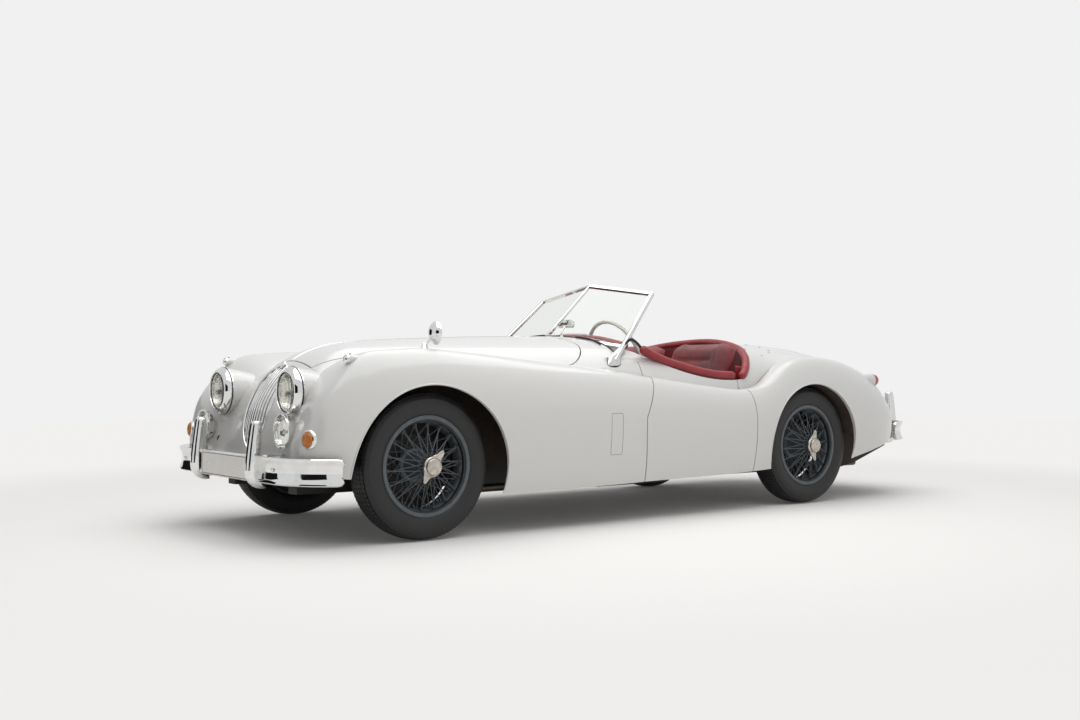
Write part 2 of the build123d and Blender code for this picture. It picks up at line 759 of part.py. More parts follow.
stub_radius = 20.0
stub_reach = 28.0
backplate_radius = 148.0
spring_x = 440.0
spring_z = tyre_radius - 62
hanger_places = ((rear_axle_y - 600, spring_z + 12), (rear_axle_y + 520, rail_bottom + 190))
hanger_width = 92.0
rear_wheel_inner_x = rear_track / 2 - 82
with BuildPart() as rear_axle:
    with BuildSketch(Plane.YZ.offset(-rear_wheel_inner_x)):
        with Locations((rear_axle_y, tyre_radius)):
            Circle(38)
    extrude(amount=2 * rear_wheel_inner_x)
    with BuildSketch(Plane.YZ.offset(-110)):
        with Locations((rear_axle_y, tyre_radius)):
            Circle(diff_radius)
    extrude(amount=220)
    with BuildSketch(Plane.YZ.offset(-rear_track / 2 - stub_reach)):
        with Locations((rear_axle_y, tyre_radius)):
            Circle(stub_radius)
    extrude(amount=rear_track + 2 * stub_reach)
    for side in (-1, 1):
        with BuildSketch(Plane.YZ.offset(side * (rear_wheel_inner_x - 4) - 4)):
            with Locations((rear_axle_y, tyre_radius)):
                Circle(backplate_radius)
        extrude(amount=8)
        with BuildSketch(Plane.XY.offset(spring_z - 14)):
            with Locations((side * spring_x, rear_axle_y - 40)):
                Rectangle(54, 1200)
        extrude(amount=28)
        with BuildSketch(Plane.XY.offset(spring_z + 10)):
            with Locations((side * spring_x, rear_axle_y)):
                Rectangle(70, 110)
        extrude(amount=30)
        for place, top in hanger_places:
            with BuildSketch(Plane.XY.offset(spring_z - 14)):
                with Locations((side * (rail_outer_x + hanger_width / 2), place)):
                    Rectangle(hanger_width, 50)
            extrude(amount=top - spring_z + 14)
save(rear_axle.part, "rear_axle")

# Front suspension arms, fixed, with an upright between their eyes that steers.
lower_eye_z = 228.0
upper_eye_z = 462.0
arm_thickness = 22.0
eye_radius = 24.0
kingpin_gap = 0.6
with BuildPart() as front_suspension:
    for side in (-1, 1):
        for height, root_x, spread in (
            (lower_eye_z, rail_outer_x, 190),
            (upper_eye_z, inner_wing_x + sheet, 120),
        ):
            with BuildSketch(Plane.XY.offset(height - arm_thickness / 2)):
                with BuildLine():
                    Polyline(
                        (side * root_x, front_axle_y - spread),
                        (side * (kingpin_x - 14), front_axle_y - 24),
                        (side * (kingpin_x - 14), front_axle_y + 24),
                        (side * root_x, front_axle_y + spread),
                        (side * root_x, front_axle_y + spread - 60),
                        (side * (kingpin_x - 60), front_axle_y),
                        (side * root_x, front_axle_y - spread + 60),
                        close=True,
                    )
                make_face()
                with Locations((side * kingpin_x, front_axle_y)):
                    Circle(eye_radius)
            extrude(amount=arm_thickness)
save(front_suspension.part, "front_suspension")

upright_low = lower_eye_z + arm_thickness / 2 + kingpin_gap
upright_high = upper_eye_z - arm_thickness / 2 - kingpin_gap
front_wheel_inner_x = front_track / 2 - 82
with BuildPart() as knuckle:
    with BuildSketch(Plane.XY.offset(upright_low)):
        with Locations((kingpin_x, front_axle_y)):
            Circle(24)
    extrude(amount=upright_high - upright_low)
    with BuildSketch(Plane.YZ.offset(kingpin_x)):
        with Locations((front_axle_y, tyre_radius)):
            Circle(stub_radius)
    extrude(amount=front_track / 2 + stub_reach - kingpin_x)
    with BuildSketch(Plane.YZ.offset(front_wheel_inner_x - 8)):
        with Locations((front_axle_y, tyre_radius)):
            Circle(backplate_radius)
    extrude(amount=8)
    with BuildSketch(Plane.XY.offset(upright_low)):
        with Locations((kingpin_x - 4, front_axle_y + 70)):
            Rectangle(24, 140)
    extrude(amount=18)
save_pair(knuckle.part, "knuckle")


# ---------------------------------------------------------------- wheels
# Each wheel is made at the origin with its outer face towards +X.
bead_half = rim_width / 2 - 6
tyre_bead_radius = rim_radius - 18
with BuildPart() as tyre:
    with BuildSketch(Plane.XY):
        with BuildLine():
            bead = Line((-bead_half + 0.5, tyre_bead_radius), (bead_half - 0.5, tyre_bead_radius))
            flange = Line(bead @ 1, (bead_half - 0.5, rim_radius))
            wall = ThreePointArc(
                flange @ 1, (tyre_width / 2, tyre_radius - 62), (tyre_width / 2 - 22, tyre_radius - 9)
            )
            tread = ThreePointArc(wall @ 1, (0, tyre_radius), (-(tyre_width / 2 - 22), tyre_radius - 9))
            back = ThreePointArc(
                tread @ 1, (-tyre_width / 2, tyre_radius - 62), (-(bead_half - 0.5), rim_radius)
            )
            Line(back @ 1, bead @ 0)
        make_face()
    revolve(axis=Axis.X)

hub_radius = 36.0
hub_inner_x = -62.0
hub_outer_x = 100.0
stub_clearance = 0.5
drum_radius = 142.0
drum_depth = 14.0
ear_span = 150.0
well_radius = tyre_bead_radius - 8
spoke_rows = (
    # hub_x, rim_x, lean
    (92.0, 12.0, 24.0),
    (-40.0, 4.0, -24.0),
)
with BuildPart() as wire_wheel:
    with BuildSketch(Plane.XY):
        with BuildLine():
            Polyline(
                (-rim_width / 2, rim_radius),
                (-rim_width / 2 + 6, rim_radius),
                (-rim_width / 2 + 6, tyre_bead_radius),
                (rim_width / 2 - 6, tyre_bead_radius),
                (rim_width / 2 - 6, rim_radius),
                (rim_width / 2, rim_radius),
                (rim_width / 2, well_radius),
                (-rim_width / 2, well_radius),
                close=True,
            )
        make_face()
        with BuildLine():
            Polyline(
                (hub_inner_x, 0),
                (hub_inner_x, hub_radius + 10),
                (-50, hub_radius + 10),
                (-30, hub_radius),
                (hub_outer_x, hub_radius),
                (hub_outer_x, 0),
                close=True,
            )
        make_face()
    revolve(axis=Axis.X)
    for hub_x, rim_x, lean in spoke_rows:
        for turn in range(2 * spoke_pairs):
            angle = radians(turn * 180 / spoke_pairs)
            swing = radians(lean if turn % 2 else -lean)
            start = Vector(hub_x, (hub_radius - 3) * cos(angle), (hub_radius - 3) * sin(angle))
            reach = well_radius + 3
            end = Vector(rim_x, reach * cos(angle + swing), reach * sin(angle + swing))
            with BuildSketch(Plane(origin=start, z_dir=end - start)):
                Circle(spoke_diameter / 2)
            extrude(amount=(end - start).length)
    with BuildSketch(Plane.YZ.offset(hub_inner_x - drum_depth)):
        Circle(drum_radius)
    extrude(amount=drum_depth)
    with BuildSketch(Plane.YZ.offset(hub_outer_x)):
        Circle(hub_radius - 4)
    extrude(amount=34, taper=14)
    with BuildSketch(Plane.YZ.offset(hub_outer_x + 6)):
        with Locations(Rotation(0, 0, 62)):
            RectangleRounded(ear_span, 26, 12.9)
    extrude(amount=16)
    with BuildSketch(Plane.YZ.offset(hub_inner_x - drum_depth - 1)):
        Circle(stub_radius + stub_clearance)
    extrude(amount=stub_reach + 3 - hub_inner_x + drum_depth, mode=Mode.SUBTRACT)

wheel_places = (
    ("front_left", Vector(front_track / 2, front_axle_y, tyre_radius)),
    ("rear_left", Vector(rear_track / 2, rear_axle_y, tyre_radius)),
)
for corner, place in wheel_places:
    right = corner.replace("left", "right")
    for piece, name in ((tyre, "tyre"), (wire_wheel, "wheel")):
        moved = Location(place) * piece.part
        save(moved, f"{name}_{corner}")
        save(mirrored(moved), f"{name}_{right}")

# ---------------------------------------------------------------- windscreen
# Two flat panes meet in a V at the centre post.
screen_base = Vector(0, front_axle_y + 1240, 965)
screen_top = Vector(0, front_axle_y + 1547, 1261)
screen_corner = Vector(490, front_axle_y + 1586, 1188)
screen_foot = Vector(604, front_axle_y + 1222, 822)
screen_heel = screen_corner + (screen_foot - screen_corner) * 0.80
pane_plane = Plane(
    origin=screen_base,
    x_dir=screen_heel - screen_base,
    z_dir=(screen_heel - screen_base).cross(screen_corner - screen_base),
)
pane_base, pane_heel, pane_corner, pane_top = [
    Vector(local.X, local.Y)
    for local in (
        pane_plane.to_local_coords(point) for point in (screen_base, screen_heel, screen_corner, screen_top)
    )
]
frame_half = 9.0
frame_depth = 18.0
glass_thickness = 6.0
glass_gap = 0.2
with BuildSketch(Plane.XY) as pane_outline:
    with BuildLine():
        Polyline(pane_base, pane_heel, pane_corner, pane_top, close=True)
    make_face()
with BuildSketch(Plane.XY) as frame_outer:
    add(pane_outline.sketch)
    offset(amount=frame_half, kind=Kind.INTERSECTION, mode=Mode.REPLACE)
with BuildSketch(Plane.XY) as frame_inner:
    add(pane_outline.sketch)
    offset(amount=-frame_half, kind=Kind.INTERSECTION, mode=Mode.REPLACE)

with BuildPart() as half_frame:
    with BuildSketch(pane_plane.offset(-frame_depth / 2)):
        add(frame_outer.sketch)
        add(frame_inner.sketch, mode=Mode.SUBTRACT)
    extrude(amount=frame_depth)
    with BuildSketch(Plane(origin=screen_corner, z_dir=screen_foot - screen_corner)):
        RectangleRounded(26, 24, 8)
    extrude(amount=(screen_foot - screen_corner).length)
    with BuildSketch(Plane(origin=screen_foot - Vector(24, 0, 44), x_dir=(1, 0, 0), z_dir=(0, 0, 1))):
        RectangleRounded(34, 88, 14)
    extrude(amount=62)
with BuildPart() as left_half_space:
    with BuildSketch(Plane.XY.offset(600)):
        with Locations((half_width / 2, front_axle_y + 1400)):
            Rectangle(half_width, 800)
    extrude(amount=800)
half_frame_trimmed = common(without(half_frame.part, body_form), left_half_space.part)
with BuildPart() as windscreen_frame:
    add(half_frame_trimmed)
    mirror(about=Plane.YZ)
save(windscreen_frame.part, "windscreen_frame")

with BuildPart() as pane:
    with BuildSketch(pane_plane.offset(-glass_thickness / 2)):
        add(pane_outline.sketch)
        offset(amount=-frame_half - glass_gap, kind=Kind.INTERSECTION, mode=Mode.REPLACE)
    extrude(amount=glass_thickness)
trimmed_pane = without(pane.part, body_form, windscreen_frame.part)
with BuildPart() as windscreen_glass:
    add(trimmed_pane)
    mirror(about=Plane.YZ)
save(windscreen_glass.part, "windscreen_glass")

# ---------------------------------------------------------------- nose and lamps
slat_count = 8
slat_width = 12.0
ring_width = 14.0
grille_depth = 26.0
grille_fit = 0.5
with BuildPart() as grille:
    with BuildSketch(grille_plane.offset(-grille_depth / 2)):
        Ellipse(grille_half - grille_fit, grille_height / 2 - grille_fit)
        Ellipse(grille_half - ring_width, grille_height / 2 - ring_width, mode=Mode.SUBTRACT)
    extrude(amount=grille_depth)
    with BuildSketch(grille_plane.offset(-grille_depth / 2)):
        with GridLocations(2 * (grille_half - ring_width) / (slat_count + 1), 0, slat_count, 1):
            Rectangle(slat_width, grille_height)
        Ellipse(grille_half - 4, grille_height / 2 - 4, mode=Mode.INTERSECT)
    extrude(amount=grille_depth)
save(grille.part, "grille")

lamp_rim_depth = 34.0
lamp_seat_y = front_axle_y - headlamp_lead + 20
with BuildPart() as headlamps:
    for side in (-1, 1):
        lamp_plane = Plane(
            origin=(side * headlamp_half_spacing, lamp_seat_y, headlamp_z), x_dir=(1, 0, 0), z_dir=(0, -1, 0)
        )
        with BuildSketch(lamp_plane):
            Circle(headlamp_radius)
        extrude(amount=lamp_rim_depth, taper=16)
        with BuildSketch(lamp_plane.offset(-60)):
            Circle(headlamp_radius - 34)
        extrude(amount=60)
save(without(headlamps.part, shell.part), "headlamps")

fog_x = 448.0
fog_z = 495.0
fog_front_y = front_axle_y - 592
bumper_low = 276.0
bumper_high = 397.0
bumper_y = front_axle_y - 655
fog_post_y = fog_front_y + 12
with BuildPart() as fog_lamp_bodies:
    for side in (-1, 1):
        fog_plane = Plane(origin=(side * fog_x, fog_front_y, fog_z), x_dir=(1, 0, 0), z_dir=(0, 1, 0))
        with BuildSketch(fog_plane):
            Circle(fog_radius)
        extrude(amount=46, taper=22)
        with BuildSketch(Plane.XY.offset(bumper_high)):
            with Locations((side * fog_x, fog_post_y)):
                Circle(9)
        extrude(amount=fog_z - fog_radius - bumper_high + 12)
        with BuildSketch(Plane.XY.offset(bumper_high)):
            with Locations((side * fog_x, (bumper_y + fog_post_y) / 2)):
                Rectangle(30, fog_post_y - bumper_y + 20)
        extrude(amount=6)
save(without(fog_lamp_bodies.part, body_form), "fog_lamps")

indicator_place = (663.0, front_axle_y - 566, 469.0)
side_lamp_place = (662.0, front_axle_y - 390, 815.0)
with BuildPart() as marker_lamp_bodies:
    for side in (-1, 1):
        for place, radius, length in ((indicator_place, 40, 90), (side_lamp_place, 21, 110)):
            lamp_plane = Plane(origin=(side * place[0], place[1], place[2]), x_dir=(1, 0, 0), z_dir=(0, 1, 0))
            with BuildSketch(lamp_plane):
                Circle(radius)
            extrude(amount=length, taper=4)
save(without(marker_lamp_bodies.part, body_form), "marker_lamps")

tail_lamp_place = (680.0, rear_axle_y + 690, 700.0)
with BuildPart() as tail_lamp_bodies:
    for side in (-1, 1):
        lamp_plane = Plane(
            origin=(side * tail_lamp_place[0], tail_lamp_place[1], tail_lamp_place[2]),
            x_dir=(1, 0, 0),
            z_dir=(0, -1, 0),
        )
        with BuildSketch(lamp_plane):
            Ellipse(30, 38)
        extrude(amount=150, taper=6)
save(without(tail_lamp_bodies.part, body_form), "tail_lamps")

# ---------------------------------------------------------------- bumpers and plates
bumper_thickness = 22.0
overrider_x = 321.0
bumper_end = (810.0, front_axle_y - 460)
bracket_width = 24.0
with BuildPart() as front_bumper:
    with BuildSketch(Plane.XY.offset(bumper_low)):
        with BuildLine():
            blade_middle = Line((0, bumper_y), (500, bumper_y))
            TangentArc(blade_middle @ 1, bumper_end, tangent=(1, 0))
            mirror(about=Plane.YZ)
            offset(amount=bumper_thickness / 2, side=Side.BOTH)
        make_face()
    extrude(amount=bumper_high - bumper_low)
    for side in (-1, 1):
        for low, width, depth, front in (
            (244, 58, 50, nose_tip_y + 32),
            (310, 64, 70, nose_tip_y),
            (548, 42, 44, nose_tip_y + 38),
        ):
            with BuildSketch(Plane.XY.offset(low)):
                with Locations((side * overrider_x, front + depth / 2)):
                    RectangleRounded(width, depth, 18)
        loft()
        with BuildSketch(Plane.XY.offset(rail_bottom + rail_height - 30)):
            with Locations((side * overrider_x, (bumper_y + front_rail_end_y) / 2)):
                Rectangle(bracket_width, front_rail_end_y - bumper_y)
        extrude(amount=28)
save(front_bumper.part, "front_bumper")

rear_overrider_x = 445.0
rear_blade_low = 330.0
rear_blade_high = 448.0
rear_blade_y = tail_tip_y - 38
with BuildPart() as rear_bumper:
    for side in (-1, 1):
        with BuildSketch(Plane.XY.offset(rear_blade_low)):
            with BuildLine():
                rear_middle = Line((side * 340, rear_blade_y), (side * 400, rear_blade_y))
                TangentArc(rear_middle @ 1, (side * 648, rear_axle_y + 905), tangent=(side, 0))
                offset(amount=bumper_thickness / 2, side=Side.BOTH)
            make_face()
        extrude(amount=rear_blade_high - rear_blade_low)
        for low, width, depth, back in (
            (300, 58, 50, tail_tip_y - 30),
            (364, 64, 70, tail_tip_y),
            (633, 42, 44, tail_tip_y - 42),
        ):
            with BuildSketch(Plane.XY.offset(low)):
                with Locations((side * rear_overrider_x, back - depth / 2)):
                    RectangleRounded(width, depth, 18)
        loft()
rear_blades = without(rear_bumper.part, body_form)
with BuildPart() as rear_pair:
    add(rear_blades)
    for side in (-1, 1):
        with BuildSketch(Plane.XY.offset(rear_rail_low + 3)):
            with Locations((side * (rail_outer_x - bracket_width), (rear_rail_end_y + rear_blade_y) / 2)):
                Rectangle(bracket_width, rear_blade_y - rear_rail_end_y)
        extrude(amount=44)
save(rear_pair.part, "rear_bumper")

plate_width = 520.0
plate_height = 112.0
plate_thickness = 4.0
plate_hole_radius = 3.5
plate_hole_spacing = 360.0
front_plate_y = bumper_y - bumper_thickness / 2 - plate_thickness
front_plate_z = 334.0
rear_plate_y = body_sections[-1][0]
rear_plate_z = 470.0
with BuildPart() as number_plates:
    for place_y, place_z in ((front_plate_y, front_plate_z), (rear_plate_y, rear_plate_z)):
        with BuildSketch(Plane.XZ.offset(-place_y)):
            with Locations((0, place_z)):
                RectangleRounded(plate_width, plate_height, 10)
                with GridLocations(plate_hole_spacing, 0, 2, 1):
                    Circle(plate_hole_radius, mode=Mode.SUBTRACT)
        extrude(amount=-plate_thickness)
save(number_plates.part, "number_plates")

# ---------------------------------------------------------------- cockpit
wheel_centre = Vector(290, front_axle_y + 1492, 846)
rake_cos = cos(radians(column_rake))
rake_sin = sin(radians(column_rake))
column_axis = Vector(0, rake_cos, rake_sin)
column_radius = 20.0
hub_back = 34.0
rim_plane = Plane(origin=wheel_centre, x_dir=(1, 0, 0), z_dir=column_axis)
rim_centre_radius = (steering_wheel_diameter - steering_rim) / 2
with BuildPart() as steering_wheel:
    with BuildSketch(Plane(origin=wheel_centre, x_dir=(1, 0, 0), z_dir=(0, -rake_sin, rake_cos))):
        with Locations((rim_centre_radius, 0)):
            Circle(steering_rim / 2)
    revolve(axis=Axis(wheel_centre, column_axis))
    with BuildSketch(rim_plane.offset(-hub_back)):
        Circle(30)
    extrude(amount=hub_back + 10)
    for turn in (35, 145, 215, 325):
        arm = rim_plane.from_local_coords(
            Vector(rim_centre_radius * cos(radians(turn)), rim_centre_radius * sin(radians(turn)), 0)
        )
        with BuildSketch(Plane(origin=wheel_centre, z_dir=arm - wheel_centre)):
            Circle(5)
        extrude(amount=rim_centre_radius)
save(steering_wheel.part, "steering_wheel")

column_start = wheel_centre - column_axis * (hub_back + soft_clearance)
column_reach = column_start.Y - bulkhead_y - bulkhead_thickness - column_radius * rake_sin - soft_clearance
column_length = column_reach / rake_cos
with BuildPart() as steering_column:
    with BuildSketch(Plane(origin=column_start, x_dir=(1, 0, 0), z_dir=-column_axis)):
        Circle(column_radius)
    extrude(amount=column_length)
save(steering_column.part, "steering_column")

dash_y = front_axle_y + 1294
dash_thickness = 16.0
dash_low = 640.0
with BuildPart() as dash_plate:
    with BuildSketch(Plane.XZ.offset(-dash_y)):
        with BuildLine():
            Polyline((0, 1000), (560, 1000), (575, dash_low), (0, dash_low))
            mirror(about=Plane.YZ)
        make_face()
    extrude(amount=-dash_thickness)
    with BuildSketch(Plane.XZ.offset(-dash_y - dash_thickness)):
        with Locations((105, 800), (-105, 800)):
            Circle(62)
        with Locations((0, 860), (0, 760), (225, 800), (-225, 800)):
            Circle(29)
    extrude(amount=-8)
    with BuildSketch(Plane(origin=column_start, x_dir=(1, 0, 0), z_dir=-column_axis)):
        Circle(column_radius + 0.5)
    extrude(amount=column_length, mode=Mode.SUBTRACT)
save(common(dash_plate.part, body_hollow), "dashboard")

tunnel_top = floor_z + tunnel_height + floor_thickness
lever_y = front_axle_y + 1420
with BuildPart() as gear_lever:
    with BuildSketch(Plane.XY.offset(tunnel_top)):
        with Locations((0, lever_y)):
            Circle(34)
    extrude(amount=22, taper=30)
    with BuildSketch(Plane.XY.offset(tunnel_top)):
        with Locations((0, lever_y)):
            Circle(6)
    extrude(amount=170)
    with Locations((0, lever_y, tunnel_top + 180)):
        Sphere(21)
save(gear_lever.part, "gear_lever")

# Each seat's backrest reaches further inwards than its cushion, over the tunnel.
seat_inner_x = 70.0
seat_base_z = floor_z + floor_thickness + soft_clearance
with BuildPart() as seats:
    for inner_x in (seat_inner_x, -seat_inner_x - seat_width):
        with BuildSketch(Plane.YZ.offset(inner_x)):
            with BuildLine():
                Polyline(
                    (heel_board_y - 480, seat_base_z),
                    (heel_board_y - 480, 430),
                    (heel_board_y - 450, 455),
                    (heel_board_y - 130, 425),
                    (heel_board_y + 5, 885),
                    (heel_board_y + 28, 915),
                    (heel_board_y + 70, 922),
                    (heel_board_y + 112, 900),
                    (heel_board_y + 118, 860),
                    (heel_board_y - 2, 525),
                    (heel_board_y - 2, seat_base_z),
                    close=True,
                )
            make_face()
        extrude(amount=seat_width)
    with BuildSketch(Plane.XZ.offset(-heel_board_y + 600)):
        with Locations((0, seat_base_z + 100)):
            Rectangle(2 * (tunnel_half + 12), 204)
    extrude(amount=-600, mode=Mode.SUBTRACT)

# Padded rolls round the cockpit's edge: one rides on each door, the rest is fixed.
roll_lift = roll_radius - 5
with BuildPart() as door_roll_bar:
    with BuildLine() as door_roll_path:
        ThreePointArc(
            (598, door_front_y + 120, 878 + roll_lift),
            (622, door_rear_y - 400, 757 + roll_lift),
            (640, door_rear_y - 10, 721 + roll_lift),
        )
    with BuildSketch(Plane(origin=door_roll_path.line @ 0, z_dir=door_roll_path.line % 0)):
        Circle(roll_radius)
    sweep()
door_roll = without(common(door_roll_bar.part, door_zone(-shut_gap / 2 - 2)), door)
save_pair(door_roll, "door_roll")

with BuildPart() as cockpit_roll_bar:
    with BuildLine():
        back_curve = Spline(
            (0, cockpit_rear_y - 6, 945),
            (230, rear_axle_y - 190, 930),
            (430, rear_axle_y - 268, 893),
            (548, rear_axle_y - 342, 846),
            (606, rear_axle_y - 395, 794),
            (640, door_rear_y + 40, 748),
            (644, door_rear_y - 50, 722 + roll_lift),
            tangents=((1, 0, 0), (0, -1, 0)),
        )
    with BuildSketch(Plane(origin=back_curve @ 0, z_dir=(1, 0, 0))):
        Circle(roll_radius)
    sweep()
    mirror(about=Plane.YZ)
with BuildPart() as scuttle_roll_bar:
    with BuildLine() as scuttle_roll_path:
        ThreePointArc(
            (-560, cockpit_front_y + 12, 900), (0, cockpit_front_y + 4, 958), (560, cockpit_front_y + 12, 900)
        )
    with BuildSketch(Plane(origin=scuttle_roll_path.line @ 0, z_dir=scuttle_roll_path.line % 0)):
        Circle(roll_radius - 6)
    sweep()
with BuildPart() as fixed_rolls:
    add(cockpit_roll_bar.part)
    add(scuttle_roll_bar.part)
roll_cutter = door_zone(shut_gap / 2 + 2)
save(without(fixed_rolls.part, shell.part, roll_cutter, mirrored(roll_cutter)), "cockpit_roll")
save(without(seats.part, cockpit_roll_bar.part), "seats")
save(without(common(side_trim_plates.part, body_hollow), cockpit_roll_bar.part), "side_trim")

# ---------------------------------------------------------------- hinge pins, mirror and exhaust
pin_radius = shut_gap / 2 - soft_clearance
door_pin_x = 0.985 * half_width - panel_thickness / 2
with BuildPart() as hinge_pins:
    for side in (-1, 1):
        with BuildSketch(Plane.XY.offset(hinge_z - 40)):
            with Locations((side * door_pin_x, door_front_y)):
                Circle(pin_radius)
        extrude(amount=60)
    for y, z, length in ((bonnet_rear_y, 952, 120), (boot_front_y, 918, 36)):
        with BuildSketch(Plane.YZ.offset(-length / 2)):
            with Locations((y, z)):
                Circle(pin_radius)
        extrude(amount=length)
save(hinge_pins.part, "hinge_pins")

mirror_base = Vector(600, front_axle_y + 60, 852)
mirror_head = Vector(612, front_axle_y + 112, 948)
with BuildPart() as wing_mirror_body:
    with BuildSketch(Plane.XY.offset(mirror_base.Z)):
        with Locations((mirror_base.X, mirror_base.Y)):
            Circle(20)
    extrude(amount=34, taper=14)
    with BuildSketch(Plane(origin=mirror_base, z_dir=mirror_head - mirror_base)):
        Circle(5)
    extrude(amount=(mirror_head - mirror_base).length)
    with BuildSketch(Plane(origin=mirror_head + Vector(0, 12, 0), x_dir=(1, 0, 0), z_dir=(0, -1, 0))):
        Circle(56)
    extrude(amount=30, taper=40)
save(without(wing_mirror_body.part, body_form), "wing_mirror")

exhaust_x = 190.0
exhaust_z = 163.0
exhaust_radius = 22.0
exhaust_bore = 19.0
downpipe_radius = 17.0
downpipe_setback = 30.0
exhaust_front_y = front_axle_y + 620
exhaust_tip_y = rear_axle_y + 1075
silencer_front_y = rear_axle_y - 1150
silencer_length = 500.0
strap_width = 24.0
strap_thickness = 5.0
with BuildPart() as exhaust:
    with BuildSketch(Plane.XZ.offset(-exhaust_front_y)):
        with Locations((exhaust_x, exhaust_z)):
            Circle(exhaust_radius)
    extrude(amount=-(exhaust_tip_y - exhaust_front_y))
    with BuildSketch(Plane.XY.offset(exhaust_z)):
        with Locations((exhaust_x, exhaust_front_y + downpipe_setback)):
            Circle(downpipe_radius)
    extrude(amount=engine_bottom - exhaust_z)
    with BuildSketch(Plane.XZ.offset(-silencer_front_y)):
        with Locations((exhaust_x, exhaust_z)):
            Ellipse(70, 38)
    extrude(amount=-silencer_length)
    for place, top in (
        (middle_cross_y, cross_tube_z - cross_tube_radius),
        (seat_cross_y, cross_tube_z - cross_tube_radius),
        (rear_cross_y, rear_tube_z - cross_tube_radius),
    ):
        with BuildSketch(Plane.XY.offset(exhaust_z)):
            with Locations((exhaust_x, place)):
                Rectangle(strap_width, strap_thickness)
        extrude(amount=top - exhaust_z)
    with BuildSketch(Plane.XZ.offset(-exhaust_tip_y)):
        with Locations((exhaust_x, exhaust_z)):
            Circle(exhaust_bore)
    extrude(amount=120, mode=Mode.SUBTRACT)
save(exhaust.part, "exhaust")
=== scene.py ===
"""Looks of an open two-seat roadster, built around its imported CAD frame.

Metres throughout. X points to the car's left, Y rearwards and Z up, with the ground at Z = 0.
"""

import logging
import math
from collections.abc import Callable, Iterable, Sequence
from dataclasses import dataclass
from enum import Enum

import bmesh
import bpy
import numpy as np
from mathutils import Matrix, Vector, kdtree
from mathutils.bvhtree import BVHTree


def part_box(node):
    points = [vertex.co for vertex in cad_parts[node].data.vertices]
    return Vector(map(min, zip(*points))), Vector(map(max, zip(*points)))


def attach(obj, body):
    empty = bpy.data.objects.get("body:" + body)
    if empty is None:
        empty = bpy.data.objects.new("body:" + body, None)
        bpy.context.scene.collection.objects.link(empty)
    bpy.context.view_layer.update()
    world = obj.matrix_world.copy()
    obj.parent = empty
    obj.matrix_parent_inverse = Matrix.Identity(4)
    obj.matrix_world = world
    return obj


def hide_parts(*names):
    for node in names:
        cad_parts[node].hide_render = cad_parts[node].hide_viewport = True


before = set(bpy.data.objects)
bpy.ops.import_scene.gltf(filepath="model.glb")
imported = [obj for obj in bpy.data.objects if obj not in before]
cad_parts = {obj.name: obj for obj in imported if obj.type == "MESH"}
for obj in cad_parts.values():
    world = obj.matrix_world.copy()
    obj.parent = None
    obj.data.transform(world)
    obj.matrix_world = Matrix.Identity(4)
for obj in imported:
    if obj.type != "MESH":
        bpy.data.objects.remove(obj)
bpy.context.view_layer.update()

logging.basicConfig(level=logging.INFO, format="%(message)s")
log = logging.getLogger("roadster")

FRONT_AXLE = -1.535
REAR_AXLE = 1.056
TAU = 2 * math.pi
# Height over the car and distance beside it, both clear of every panel.
OVERHEAD = 1.4
ALONGSIDE = 1.2
Ring = list[Vector]
Piece = bpy.types.Object
Mesh = bpy.types.Mesh
Material = bpy.types.Material
Tree = bpy.types.NodeTree
Socket = bpy.types.NodeSocket


class Body(Enum):
    """CAD bodies that pieces ride on."""

    SHELL = "body"
    BONNET = "bonnet"
    BOOT = "boot_lid"
    DOOR_LEFT = "door_left"
    DOOR_RIGHT = "door_right"
    STEERING_WHEEL = "steering_wheel"


class Grain(Enum):
    """How a finish breaks up at close range."""

    SMOOTH = "smooth"
    NOISE = "noise"
    CELLS = "cells"
    PILE = "pile"


# ------------------------------------------------------------------ materials
def linear(colour: str) -> tuple[float, float, float, float]:
    """Turns an sRGB hex colour into a linear one.

    Args:
        colour: Six hex digits after a hash sign.

    Returns:
        Red, green, blue and alpha.
    """
    parts = [int(colour[i : i + 2], 16) / 255 for i in (1, 3, 5)]
    red, green, blue = (p / 12.92 if p <= 0.04045 else ((p + 0.055) / 1.055) ** 2.4 for p in parts)
    return red, green, blue, 1.0


def add_node(
    tree: Tree,
    kind: str,
    settings: dict[str | int, object] | None = None,
    links: dict[str | int, Socket] | None = None,
) -> bpy.types.Node:
    """Adds one node with its settings and links.

    Args:
        tree: Tree that the node goes in.
        kind: Type name of the node.
        settings: Property or input name, or input number, and its value.
        links: Input name or number, and the output that feeds it.

    Returns:
        The new node.
    """
    node = tree.nodes.new(kind)
    for key, value in (settings or {}).items():
        if isinstance(key, str) and hasattr(node, key):
            setattr(node, key, value)
        else:
            node.inputs[key].default_value = value
    for key, source in (links or {}).items():
        tree.links.new(source, node.inputs[key])
    return node


def blank_tree(owner: Material | bpy.types.World) -> Tree:
    """Turns on an owner's nodes and empties its tree.

    Args:
        owner: Material or world.

    Returns:
        The empty tree.
    """
    owner.use_nodes = True
    owner.node_tree.nodes.clear()
    return owner.node_tree


def ranged(
    tree: Tree, value: Socket, given: tuple[float, float],
    wanted: tuple[float, float]
) -> Socket:
    """Maps a value from one range to another.

    Args:
        tree: Tree that the node goes in.
        value: The value.
        given: Lower and upper end of its range.
        wanted: Lower and upper end of the new range.

    Returns:
        The mapped value.
    """
    settings = {"From Min": given[0], "From Max": given[1], "To Min": wanted[0], "To Max": wanted[1]}
    return add_node(tree, "ShaderNodeMapRange", settings, {"Value": value}).outputs["Result"]


